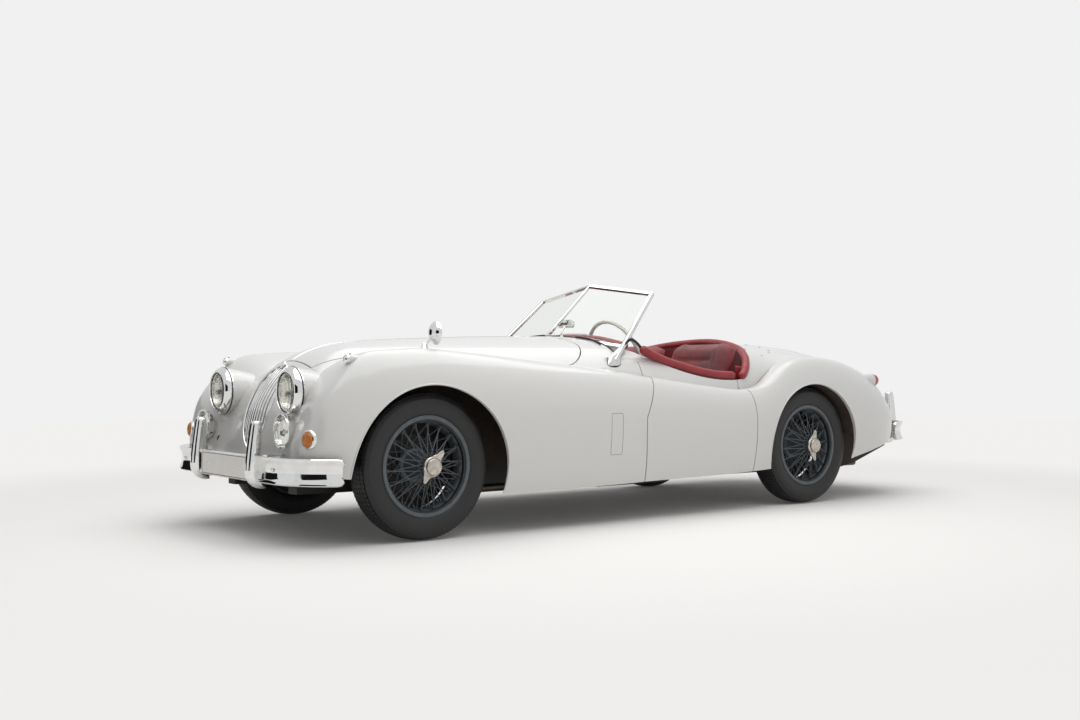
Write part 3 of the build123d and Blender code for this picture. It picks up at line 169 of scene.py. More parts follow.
@dataclass(frozen=True)
class Finish:
    """One surface finish, drawn with Principled BSDF on Object coordinates.

    Sizes in millimetres are those of the real surface's pattern.
    """

    name: str
    slot: str
    colour: str
    worn_colour: str
    roughness: float
    wear: float = 0.3
    patch_mm: float = 180.0
    roughness_spread: float = 0.05
    metallic: float = 0.0
    grain: Grain = Grain.SMOOTH
    grain_mm: float = 2.0
    relief_mm: float = 0.1
    coat: float = 0.0
    sheen: float = 0.0
    transmission: float = 0.0
    ior: float = 1.5

    def relief(self, tree: Tree, place: Socket) -> Socket:
        """Adds the fine relief of the surface.

        Args:
            tree: Tree of the material.
            place: Object coordinates.

        Returns:
            The bumped normal.
        """
        scale = 1000 / self.grain_mm
        if self.grain is Grain.CELLS:
            settings = {"feature": "DISTANCE_TO_EDGE", "Scale": scale, "Randomness": 1.0}
            height = add_node(tree, "ShaderNodeTexVoronoi", settings, {"Vector": place}).outputs["Distance"]
        elif self.grain is Grain.PILE:
            place = add_node(
                tree, "ShaderNodeMapping", {"Scale": (1.0, 1.0, 3.0)}, {"Vector": place}
            ).outputs[0]
            settings = {"Scale": scale, "Detail": 6.0}
            height = add_node(tree, "ShaderNodeTexNoise", settings, {"Vector": place}).outputs["Fac"]
        else:
            settings = {"Scale": scale, "Detail": 3.0, "Roughness": 0.6}
            height = add_node(tree, "ShaderNodeTexNoise", settings, {"Vector": place}).outputs["Fac"]
        settings = {"Strength": 1.0, "Distance": self.relief_mm / 1000}
        return add_node(tree, "ShaderNodeBump", settings, {"Height": height}).outputs["Normal"]

    def material(self) -> Material:
        """Builds the material, or finds it if it is there already.

        Returns:
            The node material of this finish.
        """
        made = bpy.data.materials.get(self.name)
        if made:
            return made
        made = bpy.data.materials.new(self.name)
        tree = blank_tree(made)
        place = add_node(tree, "ShaderNodeTexCoord").outputs["Object"]
        settings = {"Scale": 1000 / self.patch_mm, "Detail": 5.0, "Roughness": 0.62}
        patches = add_node(tree, "ShaderNodeTexNoise", settings, {"Vector": place}).outputs["Fac"]
        share = ranged(tree, patches, (0.42, 0.66), (0.0, self.wear))
        settings = {"data_type": "RGBA", 6: linear(self.colour), 7: linear(self.worn_colour)}
        colour = add_node(tree, "ShaderNodeMix", settings, {0: share}).outputs[2]
        least, most = self.roughness - self.roughness_spread, self.roughness + self.roughness_spread
        links = {"Base Color": colour, "Roughness": ranged(tree, patches, (0.3, 0.7), (max(least, 0.0), most))}
        if self.relief_mm > 0:
            links["Normal"] = self.relief(tree, place)
        settings = {
            "Metallic": self.metallic, "IOR": self.ior, "Coat Weight": self.coat, "Coat Roughness": 0.04,
            "Sheen Weight": self.sheen, "Sheen Roughness": 0.4, "Transmission Weight": self.transmission,
        }
        shader = add_node(tree, "ShaderNodeBsdfPrincipled", settings, links)
        add_node(tree, "ShaderNodeOutputMaterial", None, {"Surface": shader.outputs["BSDF"]})
        return made


# Cellulose paint, sprayed and polished: an off-white with a warm cast, a clear gloss and a faint orange peel.
PAINT = Finish(
    "cellulose_paint", "paint", "#D3D2CF", "#D0CFCB", 0.28, wear=0.2, patch_mm=1800, roughness_spread=0.0,
    grain=Grain.NOISE, grain_mm=4.0, relief_mm=0.008, coat=0.6,
)
# Chrome plate over polished steel: a bright mirror with hazy polishing marks.
CHROME = Finish(
    "chrome_plate", "chrome", "#E6E6E4", "#D2D2D0", 0.07, wear=0.5, patch_mm=70, roughness_spread=0.03,
    metallic=1.0, relief_mm=0.0,
)
# Moulded tyre rubber: near black with a chalky bloom and a fine mould texture.
RUBBER = Finish(
    "tyre_rubber", "tyre", "#1B1A1A", "#2A2827", 0.55, wear=0.6, patch_mm=60, roughness_spread=0.08,
    grain=Grain.NOISE, grain_mm=2.4, relief_mm=0.12,
)
# Stoved blue-grey enamel on the rims and spokes: satin, slightly dusty.
WHEEL_ENAMEL = Finish(
    "wheel_enamel", "wheel_rim", "#4A5156", "#5E6364", 0.42, wear=0.5, patch_mm=40,
    grain=Grain.NOISE, grain_mm=3.0, relief_mm=0.03, coat=0.15,
)
# Worn nickel-bronze spinner: warm silver with soft scratches.
SPINNER = Finish(
    "spinner_nickel", "chrome", "#C8C1B6", "#978F85", 0.3, wear=0.6, patch_mm=18, roughness_spread=0.1,
    metallic=1.0, grain=Grain.NOISE, grain_mm=1.2, relief_mm=0.04,
)
# Hide on the seats: dark red, rubbed darker where people sit, with a pebbled grain.
SEAT_HIDE = Finish(
    "seat_hide", "red_leather", "#84252A", "#482526", 0.42, wear=0.85, patch_mm=210, roughness_spread=0.12,
    grain=Grain.CELLS, grain_mm=3.2, relief_mm=0.35, sheen=0.08,
)
# Newer hide on the padded rolls: a clearer red with the same grain.
ROLL_HIDE = Finish(
    "roll_hide", "red_leather", "#93292D", "#762126", 0.42, wear=0.5, patch_mm=90, roughness_spread=0.08,
    grain=Grain.CELLS, grain_mm=2.6, relief_mm=0.25, sheen=0.05,
)
# Loop-pile carpet, drawn coarser than its real two-millimetre pile so that it shows.
CARPET = Finish(
    "wool_carpet", "cockpit_black", "#4C1A1B", "#33191A", 0.95, wear=0.8, patch_mm=60,
    grain=Grain.PILE, grain_mm=5.0, relief_mm=1.6, sheen=0.4,
)
# Plain float glass, clear with a faint green body. Its index is low so that the flat panes hardly show.
GLASS = Finish(
    "screen_glass", "glass", "#F8FAF7", "#F8FAF7", 0.0, wear=0.0, roughness_spread=0.0,
    relief_mm=0.0, transmission=1.0, ior=1.16,
)
# Pressed lamp glass: clear, its flutes made in the mesh.
LAMP_GLASS = Finish(
    "pressed_lamp_glass", "lamp_lens", "#FBFBF8", "#F1F1EC", 0.02, wear=0.2, roughness_spread=0.01,
    relief_mm=0.0, transmission=1.0, ior=1.46,
)
# Silvered reflector behind the lamp glass.
REFLECTOR = Finish(
    "silvered_reflector", "chrome", "#F0EFEA", "#DAD8D0", 0.16, wear=0.4, patch_mm=30, metallic=1.0,
    relief_mm=0.0,
)
# Amber glass of the indicators.
AMBER = Finish(
    "amber_glass", "lamp_lens", "#D07A06", "#8E4A03", 0.22, wear=0.6, patch_mm=12,
    grain=Grain.CELLS, grain_mm=6.0, relief_mm=0.7, transmission=0.15, coat=0.2,
)
# Red moulded lens of the tail lamps.
RED_LENS = Finish(
    "red_lens", "lamp_red", "#B81420", "#8F0E18", 0.12, wear=0.4, patch_mm=14,
    grain=Grain.CELLS, grain_mm=5.0, relief_mm=0.4, transmission=0.25, coat=0.6,
)
# Brushed-on black chassis enamel under road dust.
CHASSIS_BLACK = Finish(
    "chassis_enamel", "chassis_black", "#1B1A19", "#3A332C", 0.6, wear=0.6, patch_mm=160, roughness_spread=0.12,
    grain=Grain.NOISE, grain_mm=6.0, relief_mm=0.2,
)
# Thick underseal inside the arches: brown-black and lumpy.
UNDERSEAL = Finish(
    "underseal", "chassis_black", "#342B24", "#4C4036", 0.85, wear=0.7, patch_mm=120,
    grain=Grain.NOISE, grain_mm=14.0, relief_mm=1.2,
)
# Cast iron and aluminium of the engine and axles, oily and dull.
CASTING = Finish(
    "sand_casting", "engine_iron", "#4A4845", "#2A2826", 0.55, wear=0.8, patch_mm=90,
    metallic=0.5, grain=Grain.NOISE, grain_mm=5.0, relief_mm=0.4,
)
# Heat-stained steel of the exhaust.
EXHAUST = Finish(
    "stained_steel", "exhaust_steel", "#7C7066", "#4B3A2E", 0.45, wear=0.9, patch_mm=110, roughness_spread=0.12,
    metallic=0.9, grain=Grain.NOISE, grain_mm=3.0, relief_mm=0.08,
)
# Stove-enamelled plate, white and left blank.
PLATE_ENAMEL = Finish(
    "plate_enamel", "plate", "#E9E6E0", "#DDD9D2", 0.3, wear=0.4, patch_mm=120, relief_mm=0.0, coat=0.4
)
# Dark red enamel of the plate's border line.
PLATE_BORDER = Finish(
    "plate_border_enamel", "plate", "#6E1820", "#5A141B", 0.35, wear=0.3, patch_mm=60, relief_mm=0.0
)
# Cream moulded plastic of the steering wheel's rim.
CREAM_PLASTIC = Finish(
    "cream_plastic", "cockpit_black", "#CFCBC1", "#B9B3A6", 0.32, wear=0.5, patch_mm=50, relief_mm=0.0, coat=0.2
)
# Black vinyl, rubber seals and wiper blades.
BLACK_TRIM = Finish(
    "black_trim", "cockpit_black", "#151515", "#242322", 0.5, wear=0.5, patch_mm=50,
    grain=Grain.NOISE, grain_mm=2.0, relief_mm=0.05,
)
# Enamelled dial faces.
DIAL_BLACK = Finish(
    "dial_enamel", "cockpit_black", "#0E0E0E", "#191919", 0.25, wear=0.4, patch_mm=40, relief_mm=0.0
)
# Bright-zinc steel of pins and small fixings.
ZINC = Finish(
    "zinc_steel", "wire_steel", "#A5A6A6", "#7F8080", 0.32, wear=0.6, patch_mm=20, metallic=1.0,
    grain=Grain.NOISE, grain_mm=1.5, relief_mm=0.03,
)


# ------------------------------------------------------------------ meshes
def add_object(name: str, data: bpy.types.ID) -> Piece:
    """Adds an object to the scene.

    Args:
        name: Name of the object.
        data: Its mesh, lamp or camera.

    Returns:
        The object.
    """
    obj = bpy.data.objects.new(name, data)
    bpy.context.scene.collection.objects.link(obj)
    return obj


def both_sides(half: Sequence[Sequence[float]]) -> list[Sequence[float]]:
    """Mirrors a line that starts in the middle, so that it runs from the right to the left."""
    return [(-x, y, z) for x, y, z in reversed(half[1:])] + list(half)


def swollen(share: float, power: float) -> float:
    """Raises a share between -1 and 1 to a power and keeps its sign."""
    return math.copysign(abs(share) ** power, share)


def running_lengths(path: Sequence[Vector]) -> list[float]:
    """Measures along a path.

    Args:
        path: Points of the path.

    Returns:
        Length of the path up to each point.
    """
    lengths = [0.0]
    for before, after in zip(path, path[1:]):
        lengths.append(lengths[-1] + (after - before).length)
    return lengths


def upright(x: float, y: float, z: float) -> Matrix:
    """Gives a place whose X axis points up."""
    return Matrix.Translation((x, y, z)) @ Matrix.Rotation(-math.pi / 2, 4, "Y")


def round_x(place: Matrix, along: float, radius: float, angle: float) -> Vector:
    """Finds the point at a radius and an angle round a place's X axis."""
    return place @ Vector((along, radius * math.cos(angle), radius * math.sin(angle)))


def below(skin: BVHTree, x: float, y: float) -> Vector | None:
    """Finds the surface straight below a place over the car."""
    return skin.ray_cast(Vector((x, y, OVERHEAD)), Vector((0, 0, -1)))[0]


def beside(skin: BVHTree, side: int, y: float, z: float) -> Vector | None:
    """Finds the surface straight inwards from a place beside the car."""
    return skin.ray_cast(Vector((side * ALONGSIDE, y, z)), Vector((-side, 0, 0)))[0]


class Shape:
    """Collects vertices and faces, then becomes one mesh piece."""

    def __init__(self) -> None:
        """Starts empty."""
        self.vertices: list[Vector] = []
        self.faces: list[tuple[int, ...]] = []
        self.slots: list[int] = []

    def loft(
        self,
        rings: Sequence[Ring],
        slot: int = 0,
        ring_closed: bool = True,
        capped: bool = True,
        looped: bool = False,
    ) -> "Shape":
        """Joins rings of equal length with a skin.

        Args:
            rings: Rings of points, one after another.
            slot: Number of the finish on these faces.
            ring_closed: Joins each ring's last point to its first.
            capped: Closes both end rings with one face each.
            looped: Joins the last ring to the first.

        Returns:
            This shape.
        """
        base, size = len(self.vertices), len(rings[0])
        self.vertices += [point for ring in rings for point in ring]
        added = []
        for row in range(len(rings) - (0 if looped else 1)):
            here, after = base + row * size, base + (row + 1) % len(rings) * size
            for i in range(size if ring_closed else size - 1):
                j = (i + 1) % size
                added.append((here + i, here + j, after + j, after + i))
        if capped and not looped:
            last = base + (len(rings) - 1) * size
            added += [tuple(range(base + size - 1, base - 1, -1)), tuple(range(last, last + size))]
        self.faces += added
        self.slots += [slot] * len(added)
        return self

    def turn(
        self,
        profile: Sequence[tuple[float, float]],
        place: Matrix,
        segments: int = 48,
        slot: int = 0,
        swell: Callable[[float, float, float], float] | None = None,
    ) -> "Shape":
        """Turns a closed profile about the local X axis.

        Args:
            profile: Places along the axis and radii, in order round the closed outline.
            place: Where the axis lies.
            segments: Number of steps round the axis.
            slot: Number of the finish on these faces.
            swell: Gives a shift along the axis from the place, the radius and the angle.

        Returns:
            This shape.
        """
        rings = []
        for step in range(segments):
            angle = TAU * step / segments
            shifts = [swell(a, r, angle) if swell else 0.0 for a, r in profile]
            points = [
                (a + shift, r * math.cos(angle), r * math.sin(angle))
                for (a, r), shift in zip(profile, shifts)
            ]
            rings.append([place @ Vector(point) for point in points])
        return self.loft(rings, slot, capped=False, looped=True)

    def tube(
        self,
        path: Sequence[Vector],
        radius: float | Sequence[float],
        sides: int = 10,
        slot: int = 0,
        looped: bool = False,
        flat: float = 1.0,
        up: Vector = Vector((0, 0, 1)),
    ) -> "Shape":
        """Runs a round or oval section along a path.

        Args:
            path: Points of the centre line.
            radius: One radius, or one for each point.
            sides: Number of points round the section.
            slot: Number of the finish on these faces.
            looped: Closes the path on itself.
            flat: Height of the section as a share of its width.
            up: Direction that the section's height keeps near.

        Returns:
            This shape.
        """
        rings, count = [], len(path)
        for i, point in enumerate(path):
            before = path[(i - 1) % count] if looped or i else path[0]
            after = path[(i + 1) % count] if looped or i + 1 < count else path[-1]
            along = (after - before).normalized()
            across = along.cross(up).normalized()
            lift = across.cross(along)
            size = radius if isinstance(radius, (int, float)) else radius[i]
            angles = [TAU * k / sides for k in range(sides)]
            rings.append(
                [point + across * (size * math.cos(a)) + lift * (size * flat * math.sin(a)) for a in angles]
            )
        return self.loft(rings, slot, looped=looped)

    def piece(self, name: str, finishes: Sequence[Finish], crease: float = 38.0) -> Piece:
        """Turns the collected faces into a mesh object with closed seams and outward faces.

        Args:
            name: Name of the piece.
            finishes: Finishes by slot number.
            crease: Angle in degrees past which an edge stays sharp.

        Returns:
            The new object.
        """
        mesh = bpy.data.meshes.new(name)
        mesh.from_pydata([tuple(v) for v in self.vertices], [], self.faces)
        mesh.polygons.foreach_set("material_index", self.slots)
        for finish in finishes:
            mesh.materials.append(finish.material())
        work = bmesh.new()
        work.from_mesh(mesh)
        bmesh.ops.remove_doubles(work, verts=work.verts, dist=1e-6)
        bmesh.ops.recalc_face_normals(work, faces=work.faces)
        work.to_mesh(mesh)
        work.free()
        mesh.shade_smooth()
        mesh.set_sharp_from_angle(angle=math.radians(crease))
        return add_object(name, mesh)

    def settled(
        self,
        name: str,
        finishes: Sequence[Finish],
        crease: float = 38.0,
        body: Body = Body.SHELL,
        replaced: Sequence[str] = (),
    ) -> Piece:
        """Turns the collected faces into a piece on a body, with its first finish as the main one."""
        return settle(self.piece(name, finishes, crease), body, replaced)


def axis_at(place: Sequence[float], direction: Sequence[float]) -> Matrix:
    """Places the local X axis at a point, pointing a given way.

    Args:
        place: Point that the axis starts from.
        direction: Way that it points.

    Returns:
        The matrix that does so, with the local Z axis as upright as it can be.
    """
    along = Vector(direction).normalized()
    side = Vector((0, 0, 1)).cross(along)
    side = side.normalized() if side.length > 1e-6 else Vector((0, 1, 0))
    up = along.cross(side)
    turned = Matrix((along, side, up)).transposed()
    return Matrix.Translation(Vector(place)) @ turned.to_4x4()


def smooth_path(points: Sequence[Sequence[float]], steps: int = 10, looped: bool = False) -> list[Vector]:
    """Runs a smooth line through points.

    Args:
        points: Points on the line.
        steps: Number of pieces between two points.
        looped: Closes the line on itself.

    Returns:
        Points along the line.
    """
    known = [Vector(p) for p in points]
    count = len(known)
    found = []
    for i in range(count if looped else count - 1):
        if looped:
            a, b, c, d = (known[(i + k) % count] for k in (-1, 0, 1, 2))
        else:
            b, c = known[i], known[i + 1]
            a = known[i - 1] if i else b * 2 - c
            d = known[i + 2] if i + 2 < count else c * 2 - b
        for step in range(steps):
            t = step / steps
            found.append(
                0.5 * (
                    2 * b + (c - a) * t + (2 * a - 5 * b + 4 * c - d) * t**2 + (3 * b - a - 3 * c + d) * t**3
                )
            )
    if not looped:
        found.append(known[-1])
    return found


def bar_rings(x: float, half: float, stations: Sequence[float], low: float, high: float) -> list[Ring]:
    """Gives the sections of a flat bar that runs lengthwise."""
    corners = ((-half, low), (half, low), (half, high), (-half, high))
    return [[Vector((x + w, y, z)) for w, z in corners] for y in stations]


def table_value(rows: Sequence[Sequence[float]], at: float, column: int) -> float:
    """Reads a column of a small table between its rows."""
    return float(np.interp(at, [row[0] for row in rows], [row[column] for row in rows]))


def settle(
    obj: Piece, body: Body | str, replaced: Iterable[str] = ()
) -> Piece:
    """Gives a finished piece its body and the CAD nodes that it stands for.

    Args:
        obj: The piece.
        body: Body that carries it.
        replaced: CAD nodes that it stands for.

    Returns:
        The piece.
    """
    name = body.value if isinstance(body, Body) else body
    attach(obj, name)
    stands_for = list(replaced)
    if stands_for:
        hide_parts(*stands_for)
    log.info("%s rides on %s, %d faces", obj.name, name, len(obj.data.polygons))
    return obj


# ------------------------------------------------------------------ repeats
class Repeater:
    """Geometry Nodes tree that repeats a piece round the X axis."""

    def __init__(self) -> None:
        """Builds the tree once."""
        tree = bpy.data.node_groups.new("repeat_piece", "GeometryNodeTree")
        face = tree.interface
        face.new_socket("Geometry", in_out="INPUT", socket_type="NodeSocketGeometry")
        self.count = face.new_socket("Count", in_out="INPUT", socket_type="NodeSocketInt").identifier
        self.turn = face.new_socket("Turn", in_out="INPUT", socket_type="NodeSocketVector").identifier
        self.finish = face.new_socket("Finish", in_out="INPUT", socket_type="NodeSocketMaterial").identifier
        face.new_socket("Geometry", in_out="OUTPUT", socket_type="NodeSocketGeometry")
        given = add_node(tree, "NodeGroupInput").outputs
        number = add_node(tree, "GeometryNodeInputIndex").outputs[0]
        links = {0: given["Turn"], "Scale": number}
        angles = add_node(tree, "ShaderNodeVectorMath", {"operation": "SCALE"}, links)
        points = add_node(tree, "GeometryNodePoints", None, {"Count": given["Count"]})
        links = {"Points": points.outputs[0], "Instance": given["Geometry"], "Rotation": angles.outputs[0]}
        copies = add_node(tree, "GeometryNodeInstanceOnPoints", None, links)
        real = add_node(tree, "GeometryNodeRealizeInstances", None, {"Geometry": copies.outputs[0]})
        links = {"Geometry": real.outputs[0], "Material": given["Finish"]}
        dressed = add_node(tree, "GeometryNodeSetMaterial", None, links)
        add_node(tree, "NodeGroupOutput", None, {"Geometry": dressed.outputs[0]})
        self.tree = tree

    def run(self, obj: Piece, count: int, finish: Finish, turn: float) -> Piece:
        """Replaces a piece's mesh with its repeated form.

        Args:
            obj: Piece, made near the origin.
            count: Number of copies.
            finish: Finish of all of them.
            turn: Turn about X from one copy to the next, in radians.

        Returns:
            The piece.
        """
        modifier = obj.modifiers.new("repeat", "NODES")
        modifier.node_group = self.tree
        modifier[self.count] = count
        modifier[self.turn] = (float(turn), 0.0, 0.0)
        modifier[self.finish] = finish.material()
        bpy.context.view_layer.update()
        whole = obj.evaluated_get(bpy.context.evaluated_depsgraph_get())
        mesh = bpy.data.meshes.new_from_object(whole)
        obj.modifiers.remove(modifier)
        obj.data = mesh
        return obj


REPEATER = Repeater()


def merge_pieces(name: str, pieces: Sequence[Piece]) -> Piece:
    """Joins plain mesh pieces into one, keeping each face's finish.

    Args:
        name: Name of the joined piece.
        pieces: Pieces to join, which are removed.

    Returns:
        The joined piece.
    """
    work = bmesh.new()
    materials: list[Material] = []
    for piece in pieces:
        mesh = piece.data
        numbers = []
        for material in mesh.materials:
            if material not in materials:
                materials.append(material)
            numbers.append(materials.index(material))
        start = len(work.faces)
        work.from_mesh(mesh)
        work.faces.ensure_lookup_table()
        for face in work.faces[start:]:
            face.material_index = numbers[min(face.material_index, len(numbers) - 1)]
    mesh = bpy.data.meshes.new(name)
    work.to_mesh(mesh)
    work.free()
    for material in materials:
        mesh.materials.append(material)
    for piece in pieces:
        bpy.data.objects.remove(piece)
    return add_object(name, mesh)


# ------------------------------------------------------------------ painted body
@dataclass
class PaintedBody:
    """The painted panels, shaded as one continuous pressed surface.

    Each panel is a copy of its CAD node whose corner normals are averaged over the neighbouring
    faces of every panel, so that a reflection runs on across the shut lines.
    """

    reach: float = 0.034
    spacing: float = 0.012
    crease: float = 36.0
    skin_lift: float = 0.0008
    grazing: float = -0.2
    nose_depth: float = 0.2
    nose_slope: float = -0.25
    arch_bead: float = 0.0045
    arch_margin: float = 0.003
    shade_line_radius: float = 0.0011
    strip_front: float = FRONT_AXLE - 0.318
    strip_length: float = 1.406
    strip_half: float = 0.005
    flap_front: float = FRONT_AXLE + 1.024
    flap_rear: float = FRONT_AXLE + 1.099
    flap_low: float = 0.35
    flap_high: float = 0.557

    # Wing, its axle, the height of the arch's centre, its radius and the bead's sweep in degrees.
    ARCHES = (
        ("front_wing", FRONT_AXLE, 0.307, 0.4, (-14, 186)),
        ("rear_wing", REAR_AXLE, 0.325, 0.367, (-6, 190)),
    )
    # Share of the half width and height above the bonnet, across the strip.
    STRIP = ((-1, -0.001), (-0.8, 0.0016), (-0.3, 0.003), (0.3, 0.003), (0.8, 0.0016), (1, -0.001))
    # Finish slots: paint, black that is painted shade on hidden inner faces, and hide.
    PAINTED, BLACKED, LINED = 0, 1, 2
    PANELS = {
        **dict.fromkeys(
            ("nose_panel", "scuttle", "front_wing_left", "front_wing_right", "rear_wing_left",
             "rear_wing_right", "tail_panel", "rear_deck"),
            Body.SHELL,
        ),
        "bonnet": Body.BONNET,
        "boot_lid": Body.BOOT,
        "door_left": Body.DOOR_LEFT,
        "door_right": Body.DOOR_RIGHT,
    }

    def copy_panel(self, node: str) -> Mesh:
        """Copies one CAD node's mesh with its doubles merged.

        Args:
            node: Name of the node.

        Returns:
            The merged copy.
        """
        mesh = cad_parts[node].data.copy()
        mesh.name = f"{node}_skin"
        work = bmesh.new()
        work.from_mesh(mesh)
        bmesh.ops.remove_doubles(work, verts=work.verts, dist=1e-5)
        bmesh.ops.dissolve_degenerate(work, edges=work.edges, dist=1e-6)
        work.to_mesh(mesh)
        work.free()
        return mesh

    def sample(self, meshes: Sequence[Mesh]) -> tuple[kdtree.KDTree, np.ndarray, np.ndarray]:
        """Spreads points evenly over the faces of all panels.

        Args:
            meshes: Merged panel meshes.

        Returns:
            A search tree of the points, the face normal at each and the area that each stands for.
        """
        chance = np.random.default_rng(7)
        places, normals, areas = [], [], []
        for mesh in meshes:
            mesh.calc_loop_triangles()
            count = len(mesh.loop_triangles)
            corners = np.zeros(count * 3, np.int32)
            mesh.loop_triangles.foreach_get("vertices", corners)
            points = np.zeros(len(mesh.vertices) * 3)
            mesh.vertices.foreach_get("co", points)
            a, b, c = points.reshape(-1, 3)[corners.reshape(-1, 3)].transpose(1, 0, 2)
            cross = np.cross(b - a, c - a)
            area = np.linalg.norm(cross, axis=1) / 2
            normal = cross / np.maximum(2 * area[:, None], 1e-12)
            shares = np.maximum(np.ceil(area / self.spacing**2), 1).astype(int)
            pick = np.repeat(np.arange(count), shares)
            u, v = chance.random((2, len(pick)))
            over = u + v > 1
            u[over], v[over] = 1 - u[over], 1 - v[over]
            places.append(a[pick] + u[:, None] * (b - a)[pick] + v[:, None] * (c - a)[pick])
            normals.append(normal[pick])
            areas.append((area / shares)[pick])
        every = np.concatenate(places)
        found = kdtree.KDTree(len(every))
        for i, point in enumerate(every.tolist()):
            found.insert(point, i)
        found.balance()
        return found, np.concatenate(normals), np.concatenate(areas)

    def shade(self, mesh: Mesh, near: kdtree.KDTree, normals: np.ndarray, areas: np.ndarray) -> None:
        """Gives a panel its averaged corner normals.

        Args:
            mesh: Panel to shade.
            near: Search tree of the sampled points.
            normals: Normal at each sampled point.
            areas: Area that each sampled point stands for.
        """
        limit = math.cos(math.radians(self.crease))
        corners: list[list[float]] = [[0.0, 0.0, 1.0]] * len(mesh.loops)
        around: dict[int, list[tuple[int, Vector]]] = {}
        for polygon in mesh.polygons:
            for loop, vertex in zip(polygon.loop_indices, polygon.vertices):
                around.setdefault(vertex, []).append((loop, polygon.normal))
        for vertex, loops in around.items():
            hits = near.find_range(mesh.vertices[vertex].co, self.reach)
            if not hits:
                for loop, normal in loops:
                    corners[loop] = list(normal)
                continue
            picks = np.array([hit[1] for hit in hits])
            fade = (1 - (np.array([hit[2] for hit in hits]) / self.reach) ** 2) ** 2
            own, weight = normals[picks], areas[picks] * fade
            facing = np.array([normal for _, normal in loops]) @ own.T
            total = (np.where(facing > limit, weight, 0.0)) @ own
            length = np.linalg.norm(total, axis=1)
            for (loop, normal), mean, size in zip(loops, total, length):
                corners[loop] = (mean / size).tolist() if size > 1e-9 else list(normal)
        mesh.shade_smooth()
        mesh.normals_split_custom_set(corners)

    def build(self) -> dict[str, Piece]:
        """Builds every panel.

        Returns:
            Panel objects by CAD node name.
        """
        meshes = {node: self.copy_panel(node) for node in self.PANELS}
        near, normals, areas = self.sample(list(meshes.values()))
        self.shell = [surface_of(mesh) for mesh in meshes.values()]
        panels = {}
        for node, mesh in meshes.items():
            self.shade(mesh, near, normals, areas)
            mesh.materials.clear()
            # Slot 1, black, is painted shade on the hidden inner faces.
            for finish in (PAINT, BLACK_TRIM, ROLL_HIDE):
                mesh.materials.append(finish.material())
            self.line_inside(node, mesh)
            panels[node] = settle(add_object(f"{node}_painted", mesh), self.PANELS[node], [node])
        return panels

    def outside(self, place: Vector, normal: Vector) -> bool:
        """Tells whether a face can be seen from above, from beside or from an end of the car.

        Args:
            place: Middle of the face.
            normal: Way that it faces.

        Returns:
            True where nothing of the shell stands in the way.
        """
        side, end = math.copysign(1, place.x), math.copysign(1, place.y)
        ways = [Vector((0, 0, 1)), Vector((side, 0, 0)), Vector((0, end, 0))]
        if place.y < FRONT_AXLE - self.nose_depth:
            ways += [Vector((x, -1, z)).normalized() for x in (-1.2, -0.5, 0.5, 1.2) for z in (-0.3, 0.4, 1.2)]
        start = place + normal * self.skin_lift
        return any(
            normal.dot(way) > self.grazing and not any(skin.ray_cast(start, way)[0] for skin in self.shell)
            for way in ways
        )

    def line_inside(self, node: str, mesh: Mesh) -> None:
        """Puts hide on the inner faces round the cockpit and black on those of the other panels, where the
        black is painted shade on faces that the ray test finds hidden from outside.

        Args:
            node: CAD node that the panel copies.
            mesh: The panel.
        """
        for polygon in mesh.polygons:
            nose_face = node == "nose_panel" and polygon.normal.y < self.nose_slope
            if nose_face or self.outside(polygon.center, polygon.normal):
                polygon.material_index = self.PAINTED
            elif node.startswith("door") or node in ("rear_deck", "scuttle") or "rear_wing" in node:
                polygon.material_index = self.LINED
            else:
                # Hidden from outside: black as painted shade.
                polygon.material_index = self.BLACKED

    def trim(self, panels: dict[str, Piece]) -> None:
        """Adds the arch beads, the vent flaps' shut lines in painted shade and the bonnet's strip to the
        finished panels.

        Args:
            panels: Panel objects by CAD node name.
        """
        for side, end in ((1, "left"), (-1, "right")):
            beads = Shape()
            for wing, axle, centre_z, radius, sweep in self.ARCHES:
                skin = surface_of(panels[f"{wing}_{end}"].data)
                path = []
                for step in range(97):
                    angle = math.radians(sweep[0] + (sweep[1] - sweep[0]) * step / 96)
                    y = axle + (radius + self.arch_margin) * math.cos(angle)
                    z = centre_z + (radius + self.arch_margin) * math.sin(angle)
                    hit = beside(skin, side, y, z)
                    if hit and abs(hit.x) > 0.55:
                        path.append(hit - Vector((side * 0.0015, 0, 0)))
                beads.tube(path, self.arch_bead, sides=10, up=Vector((1, 0, 0)))
            beads.settled(f"arch_beads_{end}", [PAINT], crease=80)
            self.flap(side, end, surface_of(panels[f"front_wing_{end}"].data))
        self.bonnet_strip(surface_of(panels["bonnet"].data))

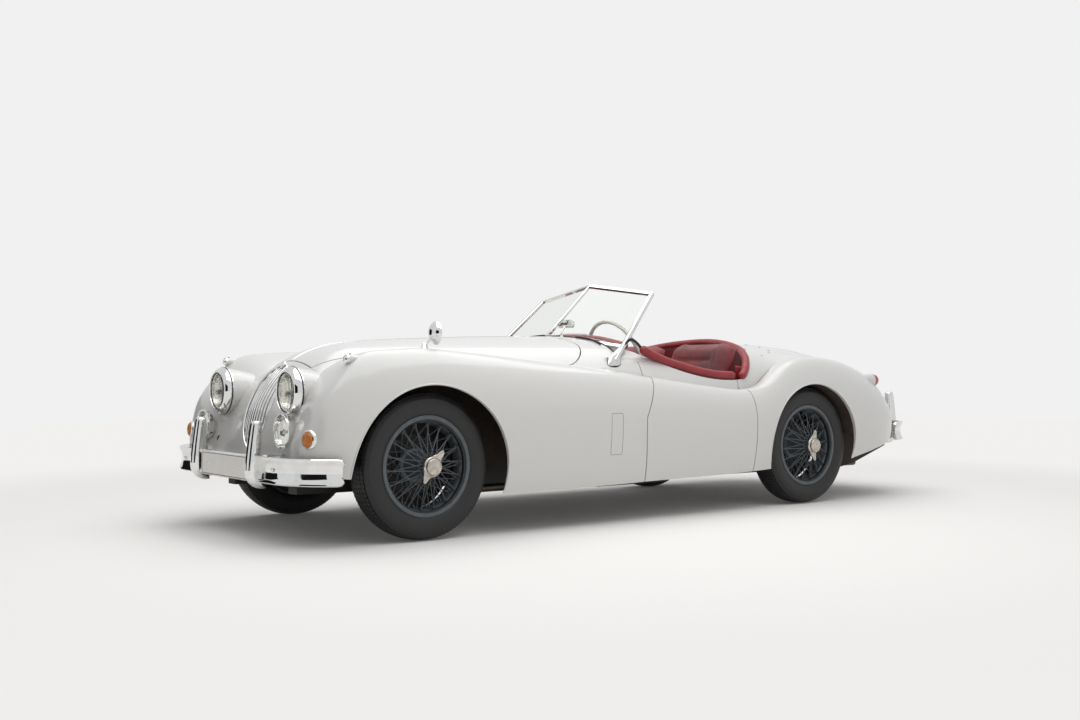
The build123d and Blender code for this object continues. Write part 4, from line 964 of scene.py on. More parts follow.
    def flap(self, side: int, end: str, skin: BVHTree) -> None:
        """Draws the shut line of a side vent flap as a fine dark bead, painted shade in the gap.

        Args:
            side: 1 on the left, -1 on the right.
            end: Name of the side.
            skin: Surface of the wing.
        """
        corner, path = 0.01, []
        middle = Vector(((self.flap_front + self.flap_rear) / 2, (self.flap_low + self.flap_high) / 2, 0))
        half_y, half_z = (self.flap_rear - self.flap_front) / 2, (self.flap_high - self.flap_low) / 2
        for quarter, (sy, sz) in enumerate(((1, 1), (-1, 1), (-1, -1), (1, -1))):
            for step in range(7):
                angle = math.pi / 2 * (quarter + step / 6)
                y = middle.x + sy * (half_y - corner) + corner * math.cos(angle)
                z = middle.y + sz * (half_z - corner) + corner * math.sin(angle)
                path.append((y, z))
        dense = []
        for i, (y, z) in enumerate(path):
            next_y, next_z = path[(i + 1) % len(path)]
            pieces = max(1, int(math.hypot(next_y - y, next_z - z) / 0.012))
            dense += [(y + (next_y - y) * k / pieces, z + (next_z - z) * k / pieces) for k in range(pieces)]
        hits = [beside(skin, side, y, z) for y, z in dense]
        line = [hit - Vector((side * 0.0004, 0, 0)) for hit in hits if hit]
        # A black bead that is painted shade in the flap's shut line.
        seam = Shape().tube(line, self.shade_line_radius, sides=6, looped=True, up=Vector((1, 0, 0)))
        seam.settled(f"vent_flap_shade_line_{end}", [BLACK_TRIM])

    def bonnet_strip(self, skin: BVHTree) -> None:
        """Lays the bright strip along the middle of the bonnet.

        Args:
            skin: Surface of the bonnet.
        """
        rings = []
        for step in range(81):
            y = self.strip_front + self.strip_length * step / 80
            hit = below(skin, 0.0005, y)
            if hit:
                half = self.strip_half * min(1.0, (step + 1) / 6, (81 - step) / 6)
                rings.append([Vector((x * half, y, hit.z + h)) for x, h in self.STRIP])
        Shape().loft(rings).settled("bonnet_strip", [CHROME], body=Body.BONNET)


def surface_of(mesh: Mesh) -> BVHTree:
    """Makes a mesh's surface ready for ray casting."""
    return BVHTree.FromPolygons([v.co for v in mesh.vertices], [tuple(p.vertices) for p in mesh.polygons])


# ------------------------------------------------------------------ wheels
@dataclass
class WireWheel:
    """One tyre on its laced wheel, made round the X axis with its outer face towards +X."""

    corner: str
    ear_turn: float
    tyre_radius: float = 0.338
    tread_blocks: int = 96
    tread_ribs: int = 6
    tread_half: float = 0.0585
    spokes: int = 18
    spoke_radius: float = 0.0023
    hub_reach: float = 0.05

    @property
    def place(self) -> Matrix:
        """Where the wheel's centre lies, mirrored for the right side."""
        low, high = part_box(f"tyre_{self.corner}")
        side = 1 if self.corner.endswith("left") else -1
        middle = (low + high) / 2
        return Matrix.Translation(middle) @ Matrix.Diagonal((side, 1, 1, 1))

    def put(self, obj: Piece) -> Piece:
        """Moves a piece from the origin to the wheel's place.

        Args:
            obj: Piece made round the origin.

        Returns:
            The piece.
        """
        place = self.place
        obj.data.transform(place)
        if place.determinant() < 0:
            obj.data.flip_normals()
        return obj

    def crown(self, across: float) -> float:
        """Radius of the tread's top at a distance across it."""
        return self.tyre_radius - 0.0002 - 0.009 * (across / 0.0605) ** 2

    def carcass(self) -> Piece:
        """Builds the tyre's carcass with its bead, ridges and shoulders.

        Returns:
            The carcass.
        """
        half = [
            (0.058, 0.205), (0.06, 0.216), (0.0625, 0.224), (0.0665, 0.231), (0.069, 0.235), (0.0706, 0.2362),
            (0.0722, 0.238), (0.0752, 0.246), (0.0788, 0.257), (0.0812, 0.269), (0.0822, 0.279),
            (0.082, 0.288), (0.0806, 0.298), (0.079, 0.304), (0.0788, 0.3062), (0.0772, 0.3078),
            (0.074, 0.314), (0.07, 0.3195), (0.066, 0.324), (0.0628, 0.3262),
        ]
        over = [
            (a, self.crown(a) - 0.0066)
            for a in (0.059, 0.045, 0.03, 0.015, 0.0, -0.015, -0.03, -0.045, -0.059)
        ]
        profile = half + over + [(-a, r) for a, r in reversed(half)]
        return Shape().turn(profile, Matrix(), 160).piece("carcass", [RUBBER], crease=30)

    def tread(self) -> Piece:
        """Builds one step of the zigzag ribs and repeats it round the tyre.

        Returns:
            The tread.
        """
        block = Shape()
        pitch = 2 * self.tread_half / self.tread_ribs
        step = TAU / self.tread_blocks
        for rib in range(self.tread_ribs):
            middle = -self.tread_half + pitch * (rib + 0.5)
            half, swing = pitch * 0.4, pitch * 0.24
            rings = []
            for share, shift in ((0.03, -1), (0.5, 1), (0.94, -0.76)):
                angle = step * share
                ring = []
                for across, lift in ((-half, -0.009), (-half, 0.0), (half, 0.0), (half, -0.009)):
                    a = middle + across + swing * shift * 0.5
                    r = self.crown(middle + across) + lift
                    ring.append(Vector((a, r * math.cos(angle), r * math.sin(angle))))
                rings.append(ring)
            block.loft(rings)
        piece = block.piece("tread", [RUBBER], crease=20)
        return REPEATER.run(piece, self.tread_blocks, RUBBER, step)

    def rim(self) -> Piece:
        """Builds the rim, the hub and the black drum, whose wide rear flange is painted shade behind the
        spokes.

        Returns:
            The rim with its hub.
        """
        outer = [
            (0.0665, 0.232), (0.069, 0.231), (0.0705, 0.227), (0.07, 0.218), (0.068, 0.2135), (0.062, 0.2115),
            (0.052, 0.21), (0.043, 0.208), (0.037, 0.201), (0.018, 0.195), (-0.018, 0.1935), (-0.028, 0.199),
            (-0.04, 0.208), (-0.06, 0.215), (-0.0665, 0.22), (-0.068, 0.228), (-0.065, 0.23),
        ]
        under = [(-0.06, 0.2235), (-0.056, 0.219), (-0.036, 0.2125), (-0.02, 0.1985), (0.02, 0.1985),
                 (0.034, 0.2105), (0.056, 0.219), (0.064, 0.227)]
        hub = [
            (-0.062, 0.0), (-0.062, 0.083), (-0.058, 0.086), (-0.05, 0.085), (-0.042, 0.078), (-0.038, 0.064),
            (-0.01, 0.048), (0.05, 0.037), (0.08, 0.034), (0.086, 0.04), (0.096, 0.041), (0.1015, 0.036),
            (0.1015, 0.0),
        ]
        # Black drum, real, with a rear flange out to 206 mm that fills the view through the wheel with painted
        # shade.
        drum_and_shade_disc = [(-0.077, 0.0), (-0.077, 0.204), (-0.0755, 0.206), (-0.0735, 0.206), (-0.072, 0.16),
                (-0.064, 0.142), (-0.0625, 0.1395), (-0.065, 0.11), (-0.0625, 0.108), (-0.0625, 0.0)]
        whole = Shape().turn(outer + under, Matrix(), 120).turn(hub, Matrix(), 48)
        whole.turn(drum_and_shade_disc, Matrix(), 64, slot=1)
        return whole.piece("rim", [WHEEL_ENAMEL, CHASSIS_BLACK], crease=32)

    def lacing(self) -> list[Piece]:
        """Builds one spoke of each row and lean, and repeats each round the hub.

        Returns:
            The rows of spokes.
        """
        rows = []
        for hub_a, hub_r, rim_a, lean, start in (
            (0.093, 0.038, 0.033, 26, 0.0), (0.088, 0.038, 0.04, -26, 10.0), (-0.042, 0.076, 0.014, 34, 5.0),
            (-0.048, 0.08, 0.022, -34, 15.0),
        ):
            begin, finish = math.radians(start), math.radians(start + lean)
            reach = float(np.interp(rim_a, (0.018, 0.037, 0.043), (0.1955, 0.2015, 0.2085)))
            foot = Vector((hub_a, hub_r * math.cos(begin), hub_r * math.sin(begin)))
            tip = Vector((rim_a, reach * math.cos(finish), reach * math.sin(finish)))
            shares = (0.0, 0.05, 0.5, 0.9, 0.905, 0.985, 1.0)
            sizes = (1.5, 1.0, 1.0, 1.0, 2.1, 2.1, 1.6)
            line, radii = [foot.lerp(tip, s) for s in shares], [self.spoke_radius * k for k in sizes]
            piece = Shape().tube(line, radii, sides=7, up=Vector((1, 0, 0))).piece("spoke", [WHEEL_ENAMEL])
            rows.append(REPEATER.run(piece, self.spokes, WHEEL_ENAMEL, TAU / self.spokes))
        return rows

    def spinner(self) -> Piece:
        """Builds the two-eared knock-off nut, its face bare.

        Returns:
            The spinner.
        """
        boss = [
            (0.05, 0.0), (0.05, 0.048), (0.054, 0.05), (0.064, 0.0485), (0.069, 0.045), (0.0705, 0.0405),
            (0.076, 0.04), (0.081, 0.0385), (0.0836, 0.0345), (0.0846, 0.024), (0.085, 0.0),
        ]
        nut = Shape().turn([(a + self.hub_reach, r) for a, r in boss], Matrix(), 48)
        rows = [
            (0.02, 0.033, 0.056, 0.008), (0.036, 0.03, 0.0585, 0.0078), (0.048, 0.023, 0.062, 0.0072),
            (0.056, 0.017, 0.0655, 0.0066), (0.068, 0.0145, 0.069, 0.006), (0.077, 0.012, 0.071, 0.0054),
            (0.084, 0.008, 0.072, 0.0044), (0.088, 0.003, 0.0723, 0.0026),
        ]
        for way in (0, math.pi):
            turn = Matrix.Rotation(self.ear_turn + way, 4, "X")
            rings = []
            for reach, half, height, thick in rows:
                sweep = 0.1 * (reach - 0.03)
                ring = []
                for k in range(14):
                    angle = TAU * k / 14
                    along = self.hub_reach + height + thick * math.sin(angle)
                    ring.append(turn @ Vector((along, reach, sweep + half * swollen(math.cos(angle), 0.8))))
                rings.append(ring)
            nut.loft(rings)
        return nut.piece("spinner", [SPINNER], crease=42)

    def build(self) -> None:
        """Builds the tyre, the wheel and the spinner of this corner."""
        body = f"wheel_{self.corner}"
        tyre = self.put(merge_pieces(f"tyre_{self.corner}_rubber", [self.carcass(), self.tread()]))
        settle(tyre, body, [f"tyre_{self.corner}"])
        wheel = self.put(merge_pieces(f"wheel_{self.corner}_laced", [self.rim(), *self.lacing()]))
        settle(wheel, body, [f"wheel_{self.corner}"])
        nut = self.put(self.spinner())
        nut.name = f"spinner_{self.corner}"
        settle(nut, body)


# ------------------------------------------------------------------ nose
@dataclass
class Grille:
    """Tall oval grille of upright bars that bulges with the nose."""

    foot: tuple[float, float] = (FRONT_AXLE - 0.53, 0.392)
    head: tuple[float, float] = (FRONT_AXLE - 0.352, 0.806)
    half_width: float = 0.128
    bulge: float = 0.058
    side_drop: float = 0.016
    bars: int = 9
    bar_half: float = 0.004
    bar_depth: float = 0.04
    rim_radius: float = 0.0062

    def point(self, x: float, share: float, lift: float = 0.0) -> Vector:
        """Finds a point of the bulging face.

        Args:
            x: Distance from the middle.
            share: Place along the height, from -1 at the foot to 1 at the head.
            lift: Distance out of the face.

        Returns:
            The point.
        """
        y = (self.foot[0] + self.head[0]) / 2 + share * (self.head[0] - self.foot[0]) / 2
        z = (self.foot[1] + self.head[1]) / 2 + share * (self.head[1] - self.foot[1]) / 2
        lean = math.atan2(self.head[0] - self.foot[0], self.head[1] - self.foot[1])
        out = (1 - share**2) * (self.bulge - self.side_drop * (x / self.half_width) ** 2) + lift
        return Vector((x, y - out * math.cos(lean), z + out * math.sin(lean)))

    def build(self) -> None:
        """Builds the bars, the black sheet behind them that is painted shade, and the rim."""
        bars = Shape()
        half_section = ((-1, -self.bar_depth), (-1, -0.007), (-0.75, -0.003), (-0.3, -0.0008))
        section = half_section + tuple((-across, lift) for across, lift in reversed(half_section))
        pitch = 2 * self.half_width / (self.bars + 1)
        for number in range(self.bars):
            x = -self.half_width + pitch * (number + 1)
            reach = math.sqrt(1 - (x / self.half_width) ** 2) * 0.985
            rings = []
            for step in range(33):
                share = -reach + 2 * reach * step / 32
                rings.append([self.point(x + across * self.bar_half, share, lift) for across, lift in section])
            bars.loft(rings)
        bars.settled("grille_bars", [CHROME], crease=50, replaced=["grille"])
        rows = []
        # A black sheet just behind the bars: painted shade inside the grille opening.
        for step in range(25):
            share = 0.975 * math.sin(math.pi / 2 * (step / 12 - 1))
            reach = self.half_width * 0.96 * math.sqrt(1 - share**2)
            across = [reach * (k / 8 - 1) for k in range(17)]
            rows.append(
                [self.point(x, share, -self.bar_depth - 0.002) for x in across]
                + [self.point(x, share, -self.bar_depth - 0.004) for x in reversed(across)]
            )
        Shape().loft(rows).settled("grille_shade_sheet", [BLACK_TRIM], crease=50)
        path = [
            self.point(self.half_width * 0.985 * math.sin(TAU * k / 96), 0.992 * math.cos(TAU * k / 96), 0.001)
            for k in range(96)
        ]
        rim = Shape().tube(path, self.rim_radius, sides=12, looped=True, up=Vector((0, -1, 0.4)))
        cap = self.point(0, 0.96, 0.01)
        rim.turn(
            [(-0.006, 0.0), (-0.006, 0.021), (0.0, 0.022), (0.004, 0.019), (0.006, 0.01), (0.0066, 0.0)],
            axis_at(cap, (0, -0.8, 0.6)), 32,
        )
        rim.settled("grille_rim", [CHROME], crease=60)


@dataclass
class Headlamps:
    """Round headlamps with conical chrome rims, fluted glass and a shielded bulb."""

    half_spacing: float = 0.387
    height: float = 0.676
    seat: float = FRONT_AXLE - 0.507
    flute_depth: float = 0.0004
    flute_pitch: float = 0.0125

    def flute(self, along: float, radius: float, angle: float) -> float:
        """Shift of the back of the glass at a point, which makes its upright flutes."""
        if along > 0.0215 or radius < 0.002:
            return 0.0
        return self.flute_depth * math.sin(TAU * radius * math.cos(angle) / self.flute_pitch)

    def build(self) -> None:
        """Builds both lamps."""
        for side, end in ((1, "left"), (-1, "right")):
            place = axis_at((side * self.half_spacing, self.seat, self.height), (0, -1, 0))
            rim = [
                (-0.01, 0.1165), (0.0, 0.1172), (0.004, 0.117), (0.007, 0.1155), (0.018, 0.112),
                (0.027, 0.1045), (0.0325, 0.0975), (0.034, 0.094), (0.033, 0.0915), (0.029, 0.09),
                (0.02, 0.0895), (0.012, 0.09), (0.0, 0.108), (-0.01, 0.11),
            ]
            bezel = Shape().turn(rim, place, 96)
            bezel.turn(
                [(-0.004, 0.1172), (0.0, 0.1185), (0.003, 0.1178), (0.002, 0.115), (-0.004, 0.114)],
                place, 96, slot=1,
            )
            tab = place @ Matrix.Translation((0.018, 0, -0.1145))
            bezel.turn([(-0.008, 0.0), (-0.008, 0.006), (0.006, 0.006), (0.009, 0.003), (0.009, 0.0)], tab, 16)
            stands_for = ["headlamps"] if side == 1 else []
            bezel.settled(f"headlamp_rim_{end}", [CHROME, BLACK_TRIM], crease=30, replaced=stands_for)
            bowl = [
                (0.014, 0.0888), (0.008, 0.086), (-0.01, 0.076), (-0.03, 0.058), (-0.045, 0.036),
                (-0.052, 0.015), (-0.053, 0.0), (-0.055, 0.0), (-0.0545, 0.016), (-0.047, 0.038),
                (-0.032, 0.0605), (-0.011, 0.0785), (0.007, 0.0882), (0.014, 0.09),
            ]
            inside = Shape().turn(bowl, place, 64)
            inside.turn(
                [(-0.052, 0.0), (-0.052, 0.012), (-0.02, 0.012), (-0.012, 0.009), (-0.008, 0.0)], place, 20
            )
            for leg in range(3):
                angle = TAU * leg / 3 + math.pi / 2
                arm = [round_x(place, -0.012 + 0.01 * t, 0.03 * t, angle) for t in (0.0, 0.5, 1.0)]
                inside.tube(arm, 0.0028, sides=6, slot=0)
            inside.turn([(-0.004, 0.0), (-0.004, 0.015), (0.0, 0.014), (0.003, 0.008), (0.004, 0.0)], place, 24)
            inside.settled(f"headlamp_reflector_{end}", [REFLECTOR], crease=40)
            front = [
                (0.023, 0.0892), (0.027, 0.08), (0.031, 0.064), (0.0345, 0.043), (0.0365, 0.021), (0.037, 0.0)
            ]
            back = [(0.0205, 0.0892 * k / 26) for k in range(27)]
            glass = Shape().turn(front + back, place, 120, swell=self.flute)
            glass.settled(f"headlamp_glass_{end}", [LAMP_GLASS], crease=50)


@dataclass
class SmallLamps:
    """Fog lamps, indicators, wing-top sidelights and tail lamps."""

    fog_place: tuple[float, float, float] = (0.448, FRONT_AXLE - 0.56, 0.503)
    fog_radius: float = 0.079
    indicator_place: tuple[float, float, float] = (0.663, FRONT_AXLE - 0.552, 0.474)
    side_place: tuple[float, float, float] = (0.662, FRONT_AXLE - 0.355, 0.822)
    tail_place: tuple[float, float, float] = (0.682, REAR_AXLE + 0.549, 0.71)

    def fog(self, side: int, whole: Shape, glass: Shape) -> None:
        """Adds one fog lamp.

        Args:
            side: 1 on the left, -1 on the right.
            whole: Shape of the metal.
            glass: Shape of the glasses.
        """
        x, y, z = self.fog_place
        place = axis_at((side * x, y, z), (0, -1, 0))
        r = self.fog_radius
        bowl = [
            (0.03, r - 0.006), (0.0315, r - 0.002), (0.028, r + 0.0005), (0.018, r), (0.014, r - 0.003),
            (0.004, r - 0.006), (-0.008, r - 0.016), (-0.02, r - 0.034), (-0.027, r - 0.054), (-0.029, 0.0),
            (-0.027, 0.0), (-0.024, r - 0.054), (-0.016, r - 0.037), (-0.004, r - 0.02), (0.008, r - 0.01),
        ]
        whole.turn(bowl, place, 64)
        bulb = [(-0.022, 0.0), (-0.022, 0.008), (0.004, 0.008), (0.01, 0.012), (0.013, 0.012), (0.015, 0.0)]
        whole.turn(bulb, place, 20)
        lens = [(0.0235, r - 0.0075), (0.031, r - 0.02), (0.0355, r - 0.04), (0.0375, 0.0), (0.0335, 0.0),
                (0.0315, r - 0.04), (0.027, r - 0.021), (0.02, r - 0.0085)]
        glass.turn(lens, place, 64)
        post = [
            Vector((side * x, y + 0.006, z - r + 0.012)), Vector((side * x, y + 0.006, z - r - 0.006)),
            Vector((side * x, y + 0.002, z - r - 0.018)), Vector((side * x, y, 0.404)),
        ]
        whole.tube(post, [0.01, 0.009, 0.0075, 0.0075], sides=14, up=Vector((0, 1, 0)))
        nut = upright(side * x, y, 0.403)
        whole.turn([(0.0, 0.0), (0.0, 0.013), (0.009, 0.013), (0.011, 0.01), (0.011, 0.0)], nut, 6)
        stations = (FRONT_AXLE - 0.665, FRONT_AXLE - 0.6, y + 0.018)
        whole.loft(bar_rings(side * x, side * 0.016, stations, 0.397, 0.4035))

    def build(self) -> None:
        """Builds every small lamp."""
        fog_metal, fog_glass, markers, amber, clear = Shape(), Shape(), Shape(), Shape(), Shape()
        tail_pods, tail_glass, side_pods, beads = Shape(), Shape(), Shape(), Shape()
        for side in (1, -1):
            self.fog(side, fog_metal, fog_glass)
            x, y, z = self.indicator_place
            place = axis_at((side * x, y, z), (side * 0.22, -1, 0.05))
            base = [
                (-0.055, 0.0), (-0.055, 0.036), (-0.01, 0.045), (0.006, 0.0455), (0.012, 0.044),
                (0.017, 0.0395), (0.018, 0.0365), (0.016, 0.035), (0.006, 0.0345), (0.006, 0.0),
            ]
            markers.turn(base, place, 48)
            amber.turn(
                [(0.0062, 0.0), (0.0062, 0.0343), (0.017, 0.0346), (0.023, 0.032), (0.0275, 0.0255),
                 (0.0305, 0.014), (0.0315, 0.0)],
                place, 40,
            )
            x, y, z = self.side_place
            place = axis_at((side * x, y, z), (0, -1, 0.06))
            pod = [
                (-0.115, 0.0), (-0.108, 0.005), (-0.085, 0.011), (-0.05, 0.0168), (-0.015, 0.02),
                (0.01, 0.0208), (0.019, 0.0206), (0.019, 0.0),
            ]
            side_pods.turn(pod, place, 40)
            ring = [
                (0.018, 0.0), (0.018, 0.0214), (0.023, 0.0214), (0.028, 0.019), (0.029, 0.016),
                (0.024, 0.015), (0.024, 0.0),
            ]
            markers.turn(ring, place, 40)
            clear.turn(
                [(0.0242, 0.0), (0.0242, 0.0148), (0.029, 0.0146), (0.034, 0.011), (0.0365, 0.0)], place, 32
            )
            angles = [TAU * k / 20 for k in range(20)]
            rows = ((0.013, 0.046, z - 0.034), (0.0125, 0.045, z - 0.02), (0.01, 0.04, z - 0.008))
            side_pods.loft(
                [
                    [Vector((side * x + w * math.cos(a), y + 0.02 + l * math.sin(a), h)) for a in angles]
                    for w, l, h in rows
                ]
            )
            beads.turn(
                [(-0.003, 0.0), (-0.003, 0.0032), (0.002, 0.0034), (0.005, 0.0022), (0.006, 0.0)],
                upright(side * x, y - 0.006, z + 0.0215), 16,
            )
            x, y, z = self.tail_place
            place = axis_at((side * x, y, z), (0, 1, 0))
            squash = place @ Matrix.Diagonal((1, 0.8, 1, 1))
            tail_pods.turn(
                [
                    (-0.11, 0.0), (-0.1, 0.012), (-0.07, 0.024), (-0.03, 0.032), (0.02, 0.0372),
                    (0.06, 0.0388), (0.081, 0.0388), (0.084, 0.0372), (0.084, 0.0),
                ],
                squash, 40,
            )
            tail_pods.turn(
                [(0.083, 0.0), (0.083, 0.0394), (0.087, 0.0398), (0.09, 0.0384), (0.09, 0.0)], squash, 40,
                slot=1
            )
            tail_glass.turn(
                [(0.088, 0.0), (0.088, 0.0378), (0.106, 0.0366), (0.122, 0.0326), (0.134, 0.0246),
                 (0.1405, 0.013), (0.1425, 0.0)],
                squash, 40,
            )
        fog_metal.settled("fog_lamp_bodies", [CHROME], crease=34, replaced=["fog_lamps"])
        fog_glass.settled("fog_lamp_glasses", [LAMP_GLASS])
        markers.settled("marker_lamp_bodies", [CHROME], crease=34, replaced=["marker_lamps"])
        amber.settled("indicator_glasses", [AMBER])
        side_pods.settled("sidelight_pods", [PAINT], crease=60)
        beads.settled("sidelight_telltales", [RED_LENS])
        clear.settled("sidelight_glasses", [LAMP_GLASS])
        tail_pods.settled("tail_lamp_pods", [PAINT, CHROME], replaced=["tail_lamps"])
        tail_glass.settled("tail_lamp_lenses", [RED_LENS])


# ------------------------------------------------------------------ bumpers and plates
@dataclass
class Bumpers:
    """Heavy dished bumper blades with rolled lips, tall overriders and blank number plates."""

    front_y: float = FRONT_AXLE - 0.655
    front_end: tuple[float, float] = (0.806, FRONT_AXLE - 0.462)
    front_mid_z: float = 0.3365
    front_half: float = 0.06
    rear_y: float = 2.197
    rear_end: tuple[float, float] = (0.648, REAR_AXLE + 0.907)
    rear_straight: float = 0.4
    rear_mid_z: float = 0.389
    rear_half: float = 0.0585
    over_x: float = 0.321
    rear_over_x: float = 0.445
    plate_half_width: float = 0.26
    plate_half_height: float = 0.056
    tip_length: float = 0.03
    tip_share: float = 0.72
    tip_pull: float = 0.01
    bracket_half: float = 0.012
    rear_bracket_x: float = 0.355
    front_straight: float = 0.5
    bolt_x: float = 0.505
    front_plate_z: float = 0.334
    rear_plate_z: float = 0.47

    # Outward place and share of the half height, from the lower back edge round the face to the upper one.
    SECTION = (
        (-0.011, -0.9), (-0.01, -0.985), (-0.004, -1.0), (0.006, -0.985), (0.0104, -0.9), (0.01, -0.79),
        (0.005, -0.67), (0.0005, -0.5), (-0.0018, -0.25), (-0.0024, 0.0), (-0.0018, 0.25), (0.0005, 0.5),
        (0.005, 0.67), (0.01, 0.79), (0.0104, 0.9), (0.006, 0.985), (-0.004, 1.0), (-0.01, 0.985),
        (-0.011, 0.9), (-0.0085, 0.7), (-0.006, 0.4), (-0.006, -0.4), (-0.0085, -0.7),
    )

    # Width and depth of an overrider's sections, from the foot up.
    OVER_SIZES = (
        (0.014, 0.02), (0.034, 0.04), (0.05, 0.056), (0.059, 0.066), (0.063, 0.072), (0.064, 0.074),
        (0.064, 0.07), (0.061, 0.062), (0.058, 0.056), (0.055, 0.051), (0.05, 0.046), (0.04, 0.036),
        (0.022, 0.02),
    )
    # Height of each section, and how far ahead of the front axle its face stands.
    FRONT_LINE = (
        (0.245, 0.632), (0.2475, 0.645), (0.256, 0.664), (0.272, 0.682), (0.295, 0.6955), (0.32, 0.699),
        (0.37, 0.696), (0.43, 0.689), (0.49, 0.6805), (0.525, 0.675), (0.54, 0.6715), (0.5465, 0.6665),
        (0.549, 0.658),
    )
    # Height of each section, and the place of its face at the rear.
    REAR_LINE = (
        (0.3005, 2.17), (0.303, 2.185), (0.312, 2.202), (0.328, 2.218), (0.35, 2.2305), (0.375, 2.234),
        (0.425, 2.231), (0.49, 2.223), (0.56, 2.213), (0.605, 2.206), (0.623, 2.202), (0.63, 2.197),
        (0.6325, 2.188),
    )

    def blade(
        self, shape: Shape, path: Sequence[Vector], middle_z: float, half: float, rounded: tuple[bool, bool]
    ) -> None:
        """Adds a blade along a level path.

        Args:
            shape: Shape to add to.
            path: Points of the blade's middle line, in order with the outside on the right-hand side.
            middle_z: Height of its middle.
            half: Half of its height.
            rounded: Whether each end is drawn in to a rounded tip.
        """
        rings, length = [], running_lengths(path)
        for i, point in enumerate(path):
            before, after = path[max(i - 1, 0)], path[min(i + 1, len(path) - 1)]
            along = (after - before).normalized()
            out = Vector((along.y, -along.x, 0))
            scale = 1.0
            for end, gap in zip(rounded, (length[i], length[-1] - length[i])):
                if end and gap < self.tip_length:
                    arc = math.sqrt(max(0.0, 1 - (1 - gap / self.tip_length) ** 2))
                    scale = min(scale, self.tip_share + (1 - self.tip_share) * arc)
            pull = 0.0
            if i == 0 and rounded[0]:
                pull = self.tip_pull
            if i == len(path) - 1 and rounded[1]:
                pull = -self.tip_pull
            ring = []
            for o, s in self.SECTION:
                place = point + out * o + along * (pull * (1 - s**4))
                ring.append(Vector((place.x, place.y, middle_z + half * s * scale)))
            rings.append(ring)
        shape.loft(rings)

    def corner_arc(self, start: Vector, end: Vector, tangent: Vector, steps: int = 28) -> list[Vector]:
        """Runs an arc that leaves a point along a tangent and ends at another.

        Args:
            start: First point.
            end: Last point.
            tangent: Direction at the first point.
            steps: Number of pieces.

        Returns:
            Points along the arc.
        """
        chord = end - start
        normal = Vector((-tangent.y, tangent.x, 0))
        if normal.dot(chord) < 0:
            normal = -normal
        radius = chord.length_squared / (2 * chord.dot(normal))
        centre = start + normal * radius
        turn = 2 * math.asin(min(1.0, chord.length / (2 * radius)))
        angles = [turn * k / steps for k in range(steps + 1)]
        return [centre - normal * (radius * math.cos(a)) + tangent * (radius * math.sin(a)) for a in angles]

    def overrider(
        self, shape: Shape, x: float, rows: Sequence[tuple[float, float, float, float]], way: int
    ) -> None:
        """Adds one tall overrider.

        Args:
            shape: Shape to add to.
            x: Where its middle lies.
            rows: Height, outermost place, width and depth of its sections from the foot up.
            way: -1 where it faces forwards, 1 where it faces rearwards.
        """
        rings, sides = [], 28
        first, last = rows[0][0], rows[-1][0]
        for step in range(49):
            blend = 0.5 - 0.5 * math.cos(math.pi * step / 48)
            z = first + (last - first) * blend
            face, width, depth = (table_value(rows, z, c) for c in (1, 2, 3))
            ring = []
            for k in range(sides):
                angle = TAU * k / sides
                px = swollen(math.cos(angle), 0.72) * width / 2
                py = swollen(math.sin(angle), 0.85) * depth / 2
                ring.append(Vector((x + px, face - way * depth / 2 + way * py, z)))
            rings.append(ring)
        shape.loft(rings)

    def plate(self, name: str, y: float, z: float, way: int) -> Piece:
        """Builds a blank plate with a raised edge, a border line and two bolts.

        Args:
            name: Name of the piece.
            y: Place of its front face.
            z: Height of its middle.
            way: -1 where it faces forwards, 1 where it faces rearwards.

        Returns:
            The plate.
        """
        whole = Shape()

        def outline(inset: float, lift: float) -> Ring:
            """Gives the plate's rounded outline.

            Args:
                inset: Distance in from its edge.
                lift: Distance off its face.

            Returns:
                Points of the outline.
            """
            corner, ring = 0.012, []
            for quarter, (sx, sz) in enumerate(((1, 1), (-1, 1), (-1, -1), (1, -1))):
                for step in range(6):
                    angle = math.pi / 2 * (quarter + step / 5)
                    across = sx * (self.plate_half_width - corner) + (corner - inset) * math.cos(angle)
                    height = z + sz * (self.plate_half_height - corner) + (corner - inset) * math.sin(angle)
                    ring.append(Vector((across, y + way * lift, height)))
            return ring

        for slot, steps in (
            (0, ((0.0, -0.003), (0.0, 0.0), (0.001, 0.0012), (0.003, 0.0012))),
            (0, ((0.003, 0.0012), (0.0046, 0.0002))),
            (0, ((0.0046, 0.0002), (0.0056, 0.0002))),
            (1, ((0.0056, 0.0002), (0.006, 0.0006), (0.0082, 0.0006), (0.0086, 0.0002))),
        ):
            whole.loft([outline(inset, lift) for inset, lift in steps], slot=slot, capped=False)
        inner, back = outline(0.0086, 0.0002), outline(0.0, -0.003)
        for ring in (inner, back):
            base = len(whole.vertices)
            whole.vertices += ring
            whole.faces.append(tuple(range(base, base + len(ring))))
            whole.slots.append(0)
        for x in (-0.18, 0.18):
            whole.turn(
                [(0.0, 0.0), (0.0, 0.0055), (0.0022, 0.005), (0.0034, 0.0026), (0.0036, 0.0)],
                axis_at((x, y + way * 0.0002, z), (0, way, 0)), 20, slot=2,
            )
        return whole.piece(name, [PLATE_ENAMEL, PLATE_BORDER, CHROME], crease=40)

